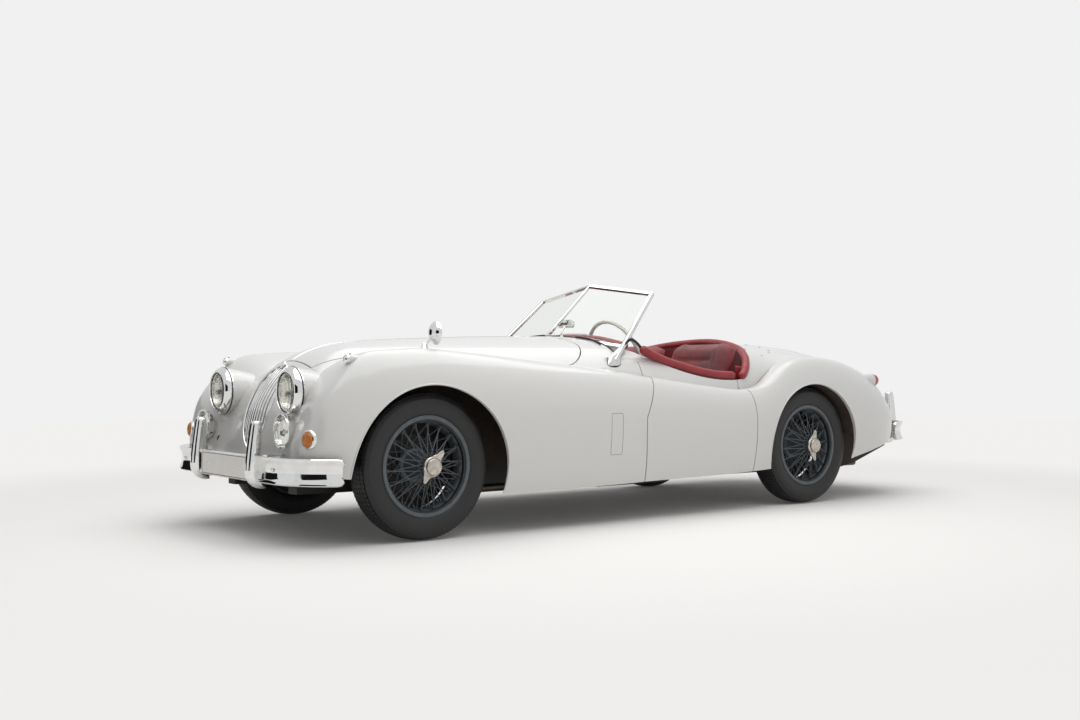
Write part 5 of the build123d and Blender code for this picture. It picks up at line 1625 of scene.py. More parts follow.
    def build(self) -> None:
        """Builds the bumpers and the plates."""
        front = Shape()
        straight = [Vector((x, self.front_y, 0)) for x in np.linspace(0, self.front_straight, 14)]
        start = Vector((self.front_straight, self.front_y, 0))
        arc = self.corner_arc(start, Vector((*self.front_end, 0)), Vector((1, 0, 0)))
        path = [Vector(point) for point in both_sides(straight + arc[1:])]
        self.blade(front, path, self.front_mid_z, self.front_half, (True, True))
        rows = [(z, FRONT_AXLE - y, *size) for (z, y), size in zip(self.FRONT_LINE, self.OVER_SIZES)]
        for side in (1, -1):
            self.overrider(front, side * self.over_x, rows, -1)
            front.turn(
                [(0.0, 0.0), (0.0, 0.0085), (0.0035, 0.0078), (0.0052, 0.004), (0.0056, 0.0)],
                axis_at((side * self.bolt_x, self.front_y - 0.0005, self.front_mid_z + 0.004), (0, -1, 0)), 24,
            )
            stations = (FRONT_AXLE - 0.655, FRONT_AXLE - 0.56, FRONT_AXLE - 0.42)
            front.loft(bar_rings(side * self.over_x, side * self.bracket_half, stations, 0.262, 0.29), slot=1)
        front.settled("front_bumper_chrome", [CHROME, CHASSIS_BLACK], crease=44, replaced=["front_bumper"])
        rear = Shape()
        for side in (1, -1):
            start = Vector((self.rear_straight, self.rear_y, 0))
            arc = self.corner_arc(start, Vector((*self.rear_end, 0)), Vector((1, 0, 0)))
            half = [Vector((x, self.rear_y, 0)) for x in np.linspace(0.342, self.rear_straight, 6)] + arc[1:]
            line = [Vector((side * p.x, p.y, 0)) for p in half]
            if side == 1:
                line.reverse()
            self.blade(rear, line, self.rear_mid_z, self.rear_half, (True, True))
            rows = [(*spot, *size) for spot, size in zip(self.REAR_LINE, self.OVER_SIZES)]
            self.overrider(rear, side * self.rear_over_x, rows, 1)
            stations = (1.98, 2.08, 2.19)
            bracket = bar_rings(side * self.rear_bracket_x, side * self.bracket_half, stations, 0.372, 0.428)
            rear.loft(bracket, slot=1)
        rear.settled("rear_bumper_chrome", [CHROME, CHASSIS_BLACK], crease=44, replaced=["rear_bumper"])
        low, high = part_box("number_plates")
        front = self.plate("front_plate_blank", low.y + 0.0015, self.front_plate_z, -1)
        settle(front, Body.SHELL, ["number_plates"])
        rear = self.plate("rear_plate_blank", high.y - 0.0015, self.rear_plate_z, 1)
        settle(rear, Body.SHELL)


# ------------------------------------------------------------------ cockpit
@dataclass
class Seats:
    """Two bucket seats with a smooth top roll and a pleated middle."""

    inner_x: float = 0.072
    width: float = 0.451
    pleats: int = 7
    pleat_depth: float = 0.011
    pleat_share: float = 0.6
    bolster_share: float = 0.76
    bulge_share: float = 0.89
    look_ahead: float = 0.004

    def pad(
        self,
        name: str,
        x: float,
        spine: Sequence[tuple[float, float]],
        thick: float,
        pleated: tuple[float, float],
        widths: Sequence[float],
    ) -> Piece:
        """Builds one crowned pad over a side-view line.

        Args:
            name: Name of the piece.
            x: Where its middle lies.
            spine: Side-view line through the pad's back face, from its lower end.
            thick: Thickness in the middle.
            pleated: Shares along the line between which the middle is pleated.
            widths: Half widths along the line.

        Returns:
            The pad.
        """
        line = smooth_path([(0, y, z) for y, z in spine], steps=12)
        rows, columns = 64, 72
        lengths = running_lengths(line)

        def spot(at: float) -> Vector:
            """Finds the point of the line at a length along it."""
            return Vector((0, *(np.interp(at, lengths, [p[c] for p in line]) for c in (1, 2))))

        rings = []
        for row in range(rows + 1):
            share = 0.5 - 0.5 * math.cos(math.pi * row / rows)
            at = share * lengths[-1]
            point = spot(at)
            ahead, behind = min(at + self.look_ahead, lengths[-1]), max(at - self.look_ahead, 0)
            along = (spot(ahead) - spot(behind)).normalized()
            out = Vector((0, -along.z, along.y))
            end_fade = max(0.0, 1 - abs(2 * share - 1) ** 7) ** 0.5
            half = float(np.interp(share, np.linspace(0, 1, len(widths)), widths))
            half *= 0.86 + 0.14 * end_fade
            ring = []
            for column in range(columns):
                angle = TAU * column / columns
                u = swollen(math.cos(angle), 0.55)
                across = max(0.0, 1 - abs(u) ** 5) ** 0.5
                bulge = 1.0 + 0.14 * math.exp(-(((share - self.bulge_share) / 0.08) ** 2))
                depth = thick * across * end_fade * bulge
                if math.sin(angle) > 0:
                    depth *= 0.86 + 0.24 * math.exp(-(((abs(u) - self.bolster_share) / 0.13) ** 2))
                    if pleated[0] < share < pleated[1]:
                        if abs(u) < self.pleat_share:
                            wave = abs(math.sin(math.pi * self.pleats * (u / self.pleat_share + 1) / 2))
                            depth += self.pleat_depth * (wave**0.6 - 0.75)
                        edge = abs(abs(u) - self.pleat_share)
                        depth -= 0.008 * math.exp(-((edge / 0.022) ** 2))
                    if abs(u) < 0.62:
                        for limit in pleated:
                            depth -= 0.01 * math.exp(-(((share - limit) / 0.014) ** 2))
                else:
                    depth *= -0.18
                place = point + out * depth
                ring.append(Vector((x + u * half, place.y, place.z)))
            rings.append(ring)
        return Shape().loft(rings).piece(name, [SEAT_HIDE], crease=70)

    def build(self) -> None:
        """Builds both seats."""
        for side, end in ((1, "left"), (-1, "right")):
            x = side * (self.inner_x + self.width / 2)
            back = self.pad(
                f"seat_back_{end}", x,
                [(0.5, 0.4), (0.512, 0.455), (0.56, 0.62), (0.62, 0.78), (0.668, 0.868), (0.694, 0.9)],
                0.098, (0.08, 0.77), [0.215, 0.222, 0.2285, 0.232, 0.232, 0.222],
            )
            base = self.pad(
                f"seat_cushion_{end}", x,
                [(0.548, 0.346), (0.44, 0.352), (0.3, 0.362), (0.18, 0.366), (0.122, 0.352)],
                0.104, (0.1, 0.9), [0.215, 0.222, 0.225, 0.225, 0.21],
            )
            for piece, fill in ((back, 0.75), (base, 0.7)):
                settle(piece, Body.SHELL, ["seats"] if piece is back and side == 1 else [])
            corners = ((-1, -1), (1, -1), (1, 1), (-1, 1))
            rings = [
                [Vector((x + sx * (0.19 + grow), 0.34 + sy * (0.195 + grow), z)) for sx, sy in corners]
                for z, grow in ((0.304, -0.012), (0.306, 0.0), (0.346, 0.0), (0.35, -0.012))
            ]
            Shape().loft(rings).settled(f"seat_base_{end}", [BLACK_TRIM])


@dataclass
class PaddedRolls:
    """Hide rolls round the cockpit's edge, one on each door and the rest fixed."""

    radius: float = 0.0235
    scuttle_radius: float = 0.0175
    door_front: float = FRONT_AXLE + 1.264
    door_rear: float = REAR_AXLE - 0.491

    def roll(
        self, name: str, path: Sequence[Vector], radius: float, body: Body = Body.SHELL,
        replaced: Sequence[str] = ()
    ) -> None:
        """Builds a roll with rounded ends and a slight ripple.

        Args:
            name: Name of the piece.
            path: Points of its centre line.
            radius: Its radius.
            body: Body that carries it.
            replaced: CAD nodes that it stands for.
        """
        sizes, length = [], running_lengths(path)
        for at in length:
            gap = min(at, length[-1] - at)
            fade = math.sqrt(max(0.02, 1 - (1 - min(gap / radius, 1)) ** 2))
            ripple = 1 + 0.012 * math.sin(at * 97) * math.sin(at * 31 + 1.3)
            sizes.append(radius * fade * ripple)
        shape = Shape().tube(path, sizes, sides=24)
        shape.settled(name, [ROLL_HIDE], crease=80, body=body, replaced=replaced)

    def build(self) -> None:
        """Builds the rolls."""
        for side, end, body in ((1, "left", Body.DOOR_LEFT), (-1, "right", Body.DOOR_RIGHT)):
            low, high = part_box(f"door_roll_{end}")
            front, rear = low.y + 0.004, high.y - 0.001
            points = (
                (0.598, self.door_front + 0.12, 0.897), (0.611, self.door_front + 0.27, 0.833),
                (0.622, self.door_rear - 0.4, 0.788), (0.634, self.door_rear - 0.2, 0.752),
                (0.64, self.door_rear - 0.006, 0.741),
            )
            heights = smooth_path([(side * x, y, z) for x, y, z in points], steps=24)
            path = [p for p in heights if front <= p.y <= rear]
            self.roll(f"door_roll_{end}_hide", path, self.radius, body, [f"door_roll_{end}"])
        back = REAR_AXLE - 0.131
        half = [
            (0.0, back - 0.006, 0.945), (0.23, REAR_AXLE - 0.19, 0.93), (0.43, REAR_AXLE - 0.268, 0.893),
            (0.548, REAR_AXLE - 0.342, 0.846), (0.606, REAR_AXLE - 0.395, 0.794),
            (0.64, self.door_rear + 0.04, 0.748), (0.645, self.door_rear + 0.006, 0.742),
        ]
        path = smooth_path(both_sides(half), steps=12)
        self.roll("cockpit_roll_hide", path, self.radius, replaced=["cockpit_roll"])
        half = [
            (x, FRONT_AXLE + y, z)
            for x, y, z in ((0.0, 1.344, 0.958), (0.3, 1.346, 0.944), (0.556, 1.352, 0.9))
        ]
        self.roll("scuttle_roll_hide", smooth_path(both_sides(half), steps=16), self.scuttle_radius)


@dataclass
class CockpitLining:
    """Hide on the shelf and on the wall behind the seats, under the padded roll."""

    shelf: float = 0.512
    shelf_front: float = REAR_AXLE - 0.33
    thickness: float = 0.003
    board: float = 0.004
    board_share: float = 0.995

    def build(self) -> None:
        """Builds the wall and the shelf."""
        half = [
            (0.0, REAR_AXLE - 0.156, 0.93), (0.23, REAR_AXLE - 0.211, 0.916), (0.4, REAR_AXLE - 0.274, 0.886),
            (0.51, REAR_AXLE - 0.342, 0.846), (0.572, REAR_AXLE - 0.405, 0.79),
            (0.594, REAR_AXLE - 0.45, 0.75),
        ]
        path = smooth_path(both_sides(half), steps=8)
        walls, boards = [], []
        low, high = self.shelf, self.shelf + self.board
        for p in path:
            back = p.y + self.thickness
            walls.append([Vector((p.x, y, z)) for y, z in ((p.y, low), (back, low), (back, p.z), (p.y, p.z))])
            front, rear = self.shelf_front, max(p.y, self.shelf_front + 0.001)
            corners = ((front, low), (rear, low), (rear, high), (front, high))
            boards.append([Vector((p.x * self.board_share, y, z)) for y, z in corners])
        Shape().loft(walls).loft(boards).settled("cockpit_lining", [SEAT_HIDE], crease=30)


@dataclass
class Controls:
    """Steering wheel, dials, mirrors, wipers and the screen's feet, rubber and stays."""

    wheel_centre: tuple[float, float, float] = (0.29, FRONT_AXLE + 1.492, 0.846)
    rake: float = 20.0
    rim_radius: float = 0.205
    rim_thickness: float = 0.0105
    boss_radius: float = 0.026

    # Share of the way down the post, half length, half thickness, and whether the row lies on the panels.
    FOOT_ROWS = (
        (0.97, 0.044, 0.015, True), (0.94, 0.041, 0.0145, False), (0.88, 0.031, 0.014, False),
        (0.82, 0.02, 0.0138, False), (0.76, 0.0145, 0.0135, False),
    )
    # Place across and up the dash, and radius.
    DIALS = (
        (0.105, 0.8, 0.062), (-0.105, 0.8, 0.062), (0, 0.86, 0.029), (0, 0.76, 0.029), (0.225, 0.8, 0.029),
        (-0.225, 0.8, 0.029),
    )

    def steering_wheel(self) -> None:
        """Builds the wheel with its moulded rim and sprung spokes."""
        way = (0, math.cos(math.radians(self.rake)), math.sin(math.radians(self.rake)))
        place = axis_at(self.wheel_centre, way)
        ring = [round_x(place, 0, self.rim_radius, TAU * k / 120) for k in range(120)]
        sizes = [self.rim_thickness * (1 + 0.05 * math.cos(TAU * k / 5)) for k in range(120)]
        shape = Shape().tube(ring, sizes, sides=16, looped=True, up=Vector(way))
        for turn in (35, 145, 215, 325):
            angle = math.radians(turn)
            for shift in (-0.006, 0.0, 0.006):
                side = Vector((0, -math.sin(angle), math.cos(angle))) * shift
                arm = []
                for t in (0.0, 0.33, 0.66, 1.0):
                    out = self.boss_radius * (1 - t) + self.rim_radius * t
                    arm.append(round_x(place @ Matrix.Translation(side), -0.004 * (1 - t), out, angle))
                shape.tube(arm, 0.0021, sides=8, slot=1, up=Vector(way))
        boss = [
            (-0.034, 0.0), (-0.034, 0.026), (-0.01, 0.03), (0.002, 0.0295), (0.007, 0.025), (0.0095, 0.014),
            (0.01, 0.0),
        ]
        shape.turn(boss, place, 40, slot=2)
        shape.turn(
            [(-0.033, 0.0), (-0.033, 0.0275), (-0.028, 0.029), (-0.024, 0.028), (-0.024, 0.0)], place, 40,
            slot=1,
        )
        shape.settled(
            "steering_wheel_moulded", [CREAM_PLASTIC, CHROME, BLACK_TRIM], 40, Body.STEERING_WHEEL,
            ["steering_wheel"]
        )

    def dials(self) -> None:
        """Builds the dials on the dash, with bezels, blank faces and needles."""
        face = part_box("dashboard")[1].y
        shape = Shape()
        for x, z, radius in self.DIALS:
            place = axis_at((x, face, z), (0, 1, 0))
            shape.turn(
                [(-0.002, radius - 0.006), (0.0035, radius - 0.006), (0.0055, radius - 0.002),
                 (0.004, radius + 0.001), (-0.002, radius + 0.0015)], place, 48,
            )
            shape.turn(
                [(0.0, 0.0), (0.0, radius - 0.005), (0.0012, radius - 0.005), (0.0012, 0.0)], place, 40, slot=1
            )
            needle = [
                place @ Vector((0.0026, t * radius * 0.62, t * radius * 0.4))
                for t in (-0.25, 0.0, 0.6, 1.0)
            ]
            shape.tube(needle, [0.0014, 0.0016, 0.0012, 0.0005], sides=6, slot=2)
            for mark in range(11):
                angle = math.radians(-40 + 26 * mark)
                ends = (radius * 0.74, radius * 0.86)
                tick = [round_x(place, 0.0015, r, angle) for r in ends]
                shape.tube(tick, 0.0007, sides=4, slot=2)
        shape.settled("dials", [CHROME, DIAL_BLACK, PLATE_ENAMEL], crease=40)

    def mirrors(self) -> None:
        """Builds the wing mirror and the small inner mirror."""
        low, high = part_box("wing_mirror")
        base = Vector((0.6, FRONT_AXLE + 0.06, low.z - 0.002))
        head = Vector((0.612, FRONT_AXLE + 0.106, high.z - 0.057))
        shape = Shape()
        foot = upright(*base)
        shape.turn(
            [(0.0, 0.0), (0.0, 0.0225), (0.006, 0.0215), (0.018, 0.0125), (0.034, 0.008), (0.04, 0.0)], foot, 36
        )
        arm = smooth_path([base, base.lerp(head, 0.5) + Vector((0, -0.004, 0)), head], 8)
        shape.tube(arm, 0.0048, sides=14, up=Vector((0, 1, 0)))
        place = axis_at(head, (0.1, 1, 0.0))
        shape.turn(
            [(0.0115, 0.0), (0.0115, 0.052), (0.014, 0.0545), (0.0135, 0.0562), (0.008, 0.056), (0.0, 0.052),
             (-0.01, 0.042), (-0.017, 0.028), (-0.0205, 0.013), (-0.0215, 0.0)],
            place, 64,
        )
        shape.settled("wing_mirror_chrome", [CHROME], crease=40, replaced=["wing_mirror"])
        inner = Shape()
        stem = [Vector((0, FRONT_AXLE + y, z)) for y, z in ((1.335, 0.958), (1.345, 0.99), (1.372, 1.028))]
        inner.tube(smooth_path(stem, 8), 0.0045, sides=12, up=Vector((0, 1, 0)))
        rings = []
        for y, grow in ((1.368, -0.01), (1.372, -0.001), (1.38, 0.0), (1.384, -0.003)):
            ring = []
            for k in range(40):
                angle = TAU * k / 40
                px = swollen(math.cos(angle), 0.35) * (0.07 + grow)
                pz = swollen(math.sin(angle), 0.35) * (0.024 + grow)
                ring.append(Vector((px, FRONT_AXLE + y, 1.036 + pz)))
            rings.append(ring)
        inner.loft(rings).settled("inner_mirror", [CHROME], crease=40)

    def screen_fittings(self, scuttle: BVHTree) -> None:
        """Builds the wipers and the dark stays behind the screen posts.

        Args:
            scuttle: Surface of the scuttle panel.
        """
        wipers, stays = Shape(), Shape()
        for x, reach in ((0.165, 0.3), (-0.325, 0.3)):
            y = FRONT_AXLE + 1.214
            hit = below(scuttle, x, y)
            ground = hit.z if hit else 0.955
            spindle = upright(x, y, ground - 0.003)
            wipers.turn(
                [(0.0, 0.0), (0.0, 0.011), (0.006, 0.01), (0.009, 0.0065), (0.017, 0.006), (0.02, 0.0)],
                spindle, 24,
            )
            arm = [Vector((x, y, ground + 0.015)), Vector((x + reach * 0.5, y + 0.012, ground + 0.012)),
                   Vector((x + reach * 0.72, y + 0.02, ground + 0.004))]
            wipers.tube(smooth_path(arm, 6), 0.0026, sides=8)
            blade = []
            for t in np.linspace(0.3, 1.0, 12):
                bx = x + reach * t
                under = below(scuttle, bx, y + 0.026)
                blade.append(Vector((bx, y + 0.026, (under.z if under else ground) + 0.006)))
            wipers.tube(blade, 0.0034, sides=8, slot=1, flat=1.5)
        for side in (1, -1):
            stay = [
                (side * 0.586, FRONT_AXLE + 1.3, 0.905), (side * 0.58, FRONT_AXLE + 1.345, 0.934),
                (side * 0.578, FRONT_AXLE + 1.385, 0.925), (side * 0.59, FRONT_AXLE + 1.425, 0.885),
            ]
            stays.tube(smooth_path(stay, 8), 0.0085, sides=10, flat=0.6, up=Vector((side, 0, 0)))
        wipers.settled("wipers", [CHROME, BLACK_TRIM])
        stays.settled("screen_stays", [BLACK_TRIM])

    def screen_feet(self, skins: Sequence[BVHTree]) -> None:
        """Builds the flared foot of each screen post and the rubber under the screen.

        Args:
            skins: Surfaces that the screen stands on.
        """

        def ground(x: float, y: float) -> float:
            """Finds the highest surface below a place."""
            hits = [below(skin, x, y) for skin in skins]
            return max((hit.z for hit in hits if hit), default=0.85)

        def seat(x: float, y: float, middle: Vector) -> float:
            """Finds the surface below a place, kept near its height below the foot's middle."""
            level = ground(middle.x, middle.y)
            return min(max(ground(x, y), level - 0.016), level + 0.03)

        feet, rubber = Shape(), Shape()
        head, foot = Vector((0.49, FRONT_AXLE + 1.586, 1.188)), Vector((0.604, FRONT_AXLE + 1.222, 0.822))
        for side in (1, -1):
            for shape, grow, rows in ((feet, 0.0, self.FOOT_ROWS), (rubber, 0.0022, self.FOOT_ROWS[:1] * 2)):
                rings = []
                for row, (share, length, thick, grounded) in enumerate(rows):
                    middle = head.lerp(foot, share)
                    level = Vector((side * (middle.x - 0.004), middle.y, 0))
                    ring = []
                    for k in range(28):
                        angle = TAU * k / 28
                        x = middle.x - 0.004 + (thick + grow) * math.cos(angle)
                        y = middle.y - 0.014 * (share - 0.76) / 0.24 + (length + grow) * math.sin(angle)
                        lift = (-0.014 if row == 0 else 0.0015) if shape is rubber else 0.0
                        low = seat(side * x, y, level)
                        z = low + lift if grounded else max(middle.z, low + 0.004)
                        ring.append(Vector((side * x, y, z)))
                    rings.append(ring)
                shape.loft(rings)
        path = []
        for step in range(61):
            x = -0.578 + 1.156 * step / 60
            y = FRONT_AXLE + 1.24 + 0.055 * abs(x) / 0.581 - 0.016
            path.append(Vector((x, y, ground(x, y) + 0.0005)))
        rubber.tube(path, 0.0045, sides=8)
        feet.settled("screen_feet", [CHROME], crease=50)
        rubber.settled("screen_rubber", [BLACK_TRIM], crease=60)

    def build(self, panels: dict[str, Piece]) -> None:
        """Builds every control.

        Args:
            panels: Panel objects by CAD node name.
        """
        self.steering_wheel()
        self.dials()
        self.mirrors()
        under = ("scuttle", "front_wing_left", "front_wing_right", "bonnet")
        self.screen_feet([surface_of(panels[node].data) for node in under])
        self.screen_fittings(surface_of(panels["scuttle"].data))


@dataclass
class DeckStuds:
    """Bright press studs for a cockpit cover, in an arc behind the seats."""

    radius: float = 0.0068

    # Place across from the middle and lengthwise.
    PLACES = ((0.0, 1.13), (0.16, 1.14), (0.3, 1.11), (0.42, 1.06), (0.5, 0.97), (0.545, 0.86), (0.59, 0.7))

    def build(self, panels: dict[str, Piece]) -> None:
        """Presses each stud into the panel under it.

        Args:
            panels: Panel objects by CAD node name.
        """
        skins = [surface_of(panels[node].data) for node in ("rear_deck", "rear_wing_left", "rear_wing_right")]
        r = self.radius
        profile = [(-0.001, 0.0), (-0.001, r), (0.0014, r), (0.0026, r * 0.6), (0.003, 0.0)]
        shape = Shape()
        for x, y in self.PLACES:
            for side in ((1, -1) if x else (1,)):
                best = None
                for skin in skins:
                    place, normal = skin.ray_cast(Vector((side * x, y, OVERHEAD)), Vector((0, 0, -1)))[:2]
                    if place and (best is None or place.z > best[0].z):
                        best = (place, normal)
                if best:
                    shape.turn(profile, axis_at(best[0], best[1]), 14)
        shape.settled("cover_studs", [SPINNER])


@dataclass
class TailShields:
    """Undersealed splash plates behind the rear wheels, outside the frame's side members."""

    across: float = 0.436
    thickness: float = 0.004

    # Distance behind the rear axle, lower edge and upper edge.
    ROWS = ((0.56, 0.235, 0.4), (0.64, 0.165, 0.42), (0.78, 0.19, 0.43), (1.08, 0.284, 0.4))

    def build(self) -> None:
        """Builds both plates."""
        shape = Shape()
        for side in (1, -1):
            rings = []
            for along, low, high in self.ROWS:
                near, far = side * self.across, side * (self.across + self.thickness)
                y = REAR_AXLE + along
                corners = ((near, low), (far, low), (far, high), (near, high))
                rings.append([Vector((x, y, z)) for x, z in corners])
            shape.loft(rings)
        shape.settled("tail_shields", [UNDERSEAL], crease=30)


# ------------------------------------------------------------------ kept CAD nodes
KEPT_NODES: dict[str, Finish] = {
    "floor_pan": CARPET,
    "bulkhead": CHASSIS_BLACK,
    "rear_floor": UNDERSEAL,
    "side_trim": ROLL_HIDE,
    "chassis_frame": CHASSIS_BLACK,
    "engine_block": CASTING,
    "driveline": CASTING,
    "radiator": CHASSIS_BLACK,
    "fuel_tank": CHASSIS_BLACK,
    "rear_axle": CASTING,
    "front_suspension": CHASSIS_BLACK,
    "knuckle_left": CASTING,
    "knuckle_right": CASTING,
    "windscreen_frame": CHROME,
    "windscreen_glass": GLASS,
    "steering_column": BLACK_TRIM,
    "dashboard": ROLL_HIDE,
    "gear_lever": CHROME,
    "exhaust": EXHAUST,
    "hinge_pins": ZINC,
}


def trim_inner_wings() -> None:
    """Draws the inner wings' front edges a little further back, clear of the front skin."""
    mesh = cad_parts["inner_wings"].data.copy()
    for vertex in mesh.vertices:
        vertex.co.y = max(vertex.co.y, FRONT_AXLE - 0.4)
    mesh.materials.clear()
    mesh.materials.append(UNDERSEAL.material())
    settle(add_object("inner_wings_trimmed", mesh), Body.SHELL, ["inner_wings"])


def dress_kept_nodes() -> None:
    """Gives every CAD node that stays in view its finish."""
    for node, finish in KEPT_NODES.items():
        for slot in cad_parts[node].material_slots:
            slot.material = finish.material()
        log.info("%s keeps its CAD shape, finished as %s", node, finish.name)


# ------------------------------------------------------------------ studio
def shine(tree: Tree, colour: str, strength: float) -> Socket:
    """Adds a plain glow."""
    return add_node(tree, "ShaderNodeEmission", {"Color": linear(colour), "Strength": strength}).outputs[0]


def blend(tree: Tree, share: Socket, first: Socket, second: Socket) -> Socket:
    """Mixes two shaders by a share."""
    return add_node(tree, "ShaderNodeMixShader", None, {0: share, 1: first, 2: second}).outputs[0]


def combined(tree: Tree, operation: str, first: Socket, second: Socket) -> Socket:
    """Combines two values by one operation."""
    return add_node(tree, "ShaderNodeMath", {"operation": operation}, {0: first, 1: second}).outputs[0]


@dataclass
class Studio:
    """Pale floor, soft light from above, dark screens that paint dark reflections into the chrome, and the
    camera.
    """

    floor_colour: str = "#E4E2DF"
    world_strength: float = 0.84
    front_strength: float = 0.16
    roof_power: float = 215.0
    eye: tuple[float, float, float] = (5.4573, -4.487, 0.7582)
    azimuth: float = 0.9217016
    elevation: float = 0.0108035
    roll: float = -0.0026133
    focal: float = 40.881
    reach: float = 14.0

    # Both ends across and lengthwise, and the lower and upper edge.
    SCREENS = ((-10.0, -3.0, -7.2, -8.8, 0.05, 3.4), (0.4, -11.8, 7.2, -9.8, 0.2, 4.6))

    def plain(self, name: str, colour: str, camera_level: float) -> Material:
        """Builds a matt stage material that looks brighter to the camera than it lights.

        Args:
            name: Name of the material.
            colour: Its colour.
            camera_level: Strength of the pale light that camera and mirror rays see added.

        Returns:
            The material.
        """
        made = bpy.data.materials.new(name)
        tree = blank_tree(made)
        diffuse = add_node(tree, "ShaderNodeBsdfDiffuse", {"Color": linear(colour)})
        glow = shine(tree, "#F6F5F4", camera_level)
        place = add_node(tree, "ShaderNodeTexCoord").outputs["Object"]
        away = add_node(tree, "ShaderNodeVectorMath", {"operation": "LENGTH"}, {0: place})
        far = add_node(
            tree, "ShaderNodeMapRange", {"interpolation_type": "SMOOTHSTEP", "From Min": 2.4, "From Max": 5.2},
            {"Value": away.outputs["Value"]},
        )
        haze = shine(tree, "#F1F0EF", 1.0)
        path = add_node(tree, "ShaderNodeLightPath").outputs
        direct = combined(tree, "MAXIMUM", path["Is Camera Ray"], path["Is Glossy Ray"])
        seen = combined(tree, "MAXIMUM", direct, path["Is Transmission Ray"])
        pick = blend(tree, seen, shine(tree, "#000000", 0.0), glow)
        both = add_node(tree, "ShaderNodeAddShader", None, {0: diffuse.outputs[0], 1: pick}).outputs[0]
        faded = blend(tree, combined(tree, "MULTIPLY", seen, far.outputs[0]), both, haze)
        add_node(tree, "ShaderNodeOutputMaterial", None, {"Surface": faded})
        return made

    def screen(self, name: str) -> Material:
        """Builds a dark screen that only mirror rays see: a painted reflection, dark bands in the chrome.

        Args:
            name: Name of the material.

        Returns:
            The material.
        """
        made = bpy.data.materials.new(name)
        tree = blank_tree(made)
        path = add_node(tree, "ShaderNodeLightPath").outputs
        clear = add_node(tree, "ShaderNodeBsdfTransparent").outputs[0]
        pick = blend(tree, path["Is Glossy Ray"], clear, shine(tree, "#161617", 1.0))
        add_node(tree, "ShaderNodeOutputMaterial", None, {"Surface": pick})
        return made

    def sheet(self, name: str, corners: Sequence[Sequence[float]], material: Material) -> None:
        """Adds one flat stage sheet.

        Args:
            name: Name of the sheet.
            corners: Its corners in order.
            material: Its material.
        """
        mesh = bpy.data.meshes.new(name)
        mesh.from_pydata([tuple(c) for c in corners], [], [tuple(range(len(corners)))])
        mesh.materials.append(material)
        add_object(name, mesh)

    def lamp(
        self, name: str, place: Sequence[float], target: Sequence[float], size: tuple[float, float],
        power: float,
    ) -> None:
        """Hangs one soft area lamp.

        Args:
            name: Name of the lamp.
            place: Where it hangs.
            target: Point that it faces.
            size: Its width and length.
            power: Its power in watts.
        """
        data = bpy.data.lights.new(name, "AREA")
        data.shape = "RECTANGLE"
        data.size, data.size_y = size
        data.energy = power
        obj = add_object(name, data)
        obj.location = place
        obj.rotation_euler = (Vector(target) - Vector(place)).to_track_quat("-Z", "Y").to_euler()

    def camera(self) -> None:
        """Sets the camera."""
        level = math.cos(self.elevation)
        ahead = Vector(
            (-math.sin(self.azimuth) * level, math.cos(self.azimuth) * level, math.sin(self.elevation))
        )
        right = ahead.cross(Vector((0, 0, 1))).normalized()
        up = right.cross(ahead)
        right, up = (
            math.cos(self.roll) * right + math.sin(self.roll) * up,
            -math.sin(self.roll) * right + math.cos(self.roll) * up,
        )
        data = bpy.data.cameras.new("camera")
        data.lens = self.focal
        data.sensor_width = 36.0
        data.sensor_fit = "HORIZONTAL"
        obj = add_object("camera", data)
        obj.matrix_world = Matrix.Translation(Vector(self.eye)) @ Matrix(
            (right, up, -ahead)
        ).transposed().to_4x4()
        bpy.context.scene.camera = obj

    def build(self) -> None:
        """Builds the whole studio."""
        scene = bpy.context.scene
        scene.view_settings.view_transform = "Standard"
        world = bpy.data.worlds.new("studio")
        scene.world = world
        tree = blank_tree(world)
        path = add_node(tree, "ShaderNodeLightPath").outputs
        seen = combined(tree, "MAXIMUM", path["Is Camera Ray"], path["Is Transmission Ray"])
        around = add_node(tree, "ShaderNodeTexCoord").outputs["Generated"]
        way = add_node(tree, "ShaderNodeSeparateXYZ", None, {0: around}).outputs["Y"]
        fade = ranged(tree, way, (-0.95, 0.15), (self.front_strength, self.world_strength))
        mirrored = add_node(tree, "ShaderNodeMix", {3: 0.86}, {0: path["Is Glossy Ray"], 2: fade}).outputs[0]
        dim = add_node(tree, "ShaderNodeBackground", {"Color": linear("#F2F3F5")}, {"Strength": mirrored})
        bright = add_node(tree, "ShaderNodeBackground", {"Color": linear("#F1F1F1"), "Strength": 1.0})
        pick = blend(tree, seen, dim.outputs[0], bright.outputs[0])
        add_node(tree, "ShaderNodeOutputWorld", None, {"Surface": pick})
        floor = self.plain("studio_floor", self.floor_colour, 0.05)
        r = self.reach
        self.sheet("floor", [(-r, -r, 0), (r, -r, 0), (r, r, 0), (-r, r, 0)], floor)
        # Dark screens seen only in reflections: painted reflections for the chrome.
        dark = self.screen("painted_reflection_screen")
        for number, (x0, y0, x1, y1, low, high) in enumerate(self.SCREENS):
            corners = [(x0, y0, low), (x1, y1, low), (x1, y1, high), (x0, y0, high)]
            self.sheet(f"painted_reflection_screen_{number}", corners, dark)
        self.lamp("roof", (0.4, -0.4, 4.6), (0, 0, 0.4), (5.5, 7.5), self.roof_power)
        self.camera()
        log.info("studio ready")


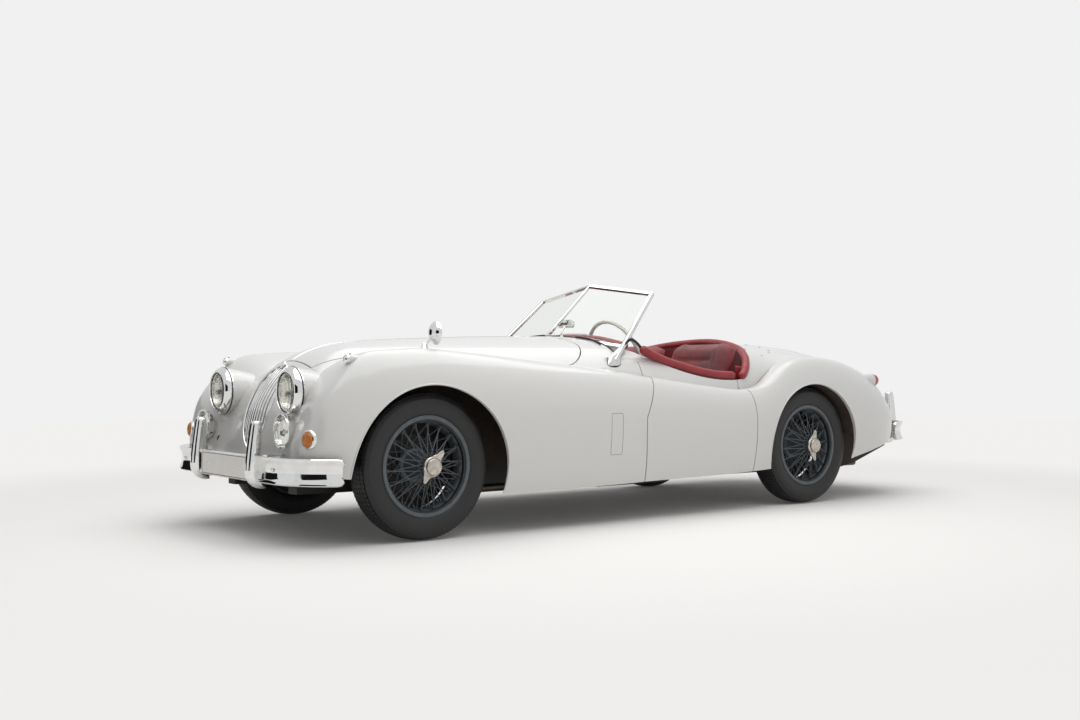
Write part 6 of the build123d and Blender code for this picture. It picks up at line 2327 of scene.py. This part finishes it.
def main() -> None:
    """Builds every part of the car in order, then the studio."""
    body = PaintedBody()
    panels = body.build()
    body.trim(panels)
    for corner, turn in (
        ("front_left", 50.0), ("rear_left", 84.0), ("front_right", 70.0), ("rear_right", 25.0)
    ):
        WireWheel(corner, math.radians(turn)).build()
    Grille().build()
    Headlamps().build()
    SmallLamps().build()
    Bumpers().build()
    Seats().build()
    PaddedRolls().build()
    CockpitLining().build()
    Controls().build(panels)
    DeckStuds().build(panels)
    TailShields().build()
    trim_inner_wings()
    dress_kept_nodes()
    Studio().build()


if __name__ == "__main__":
    main()
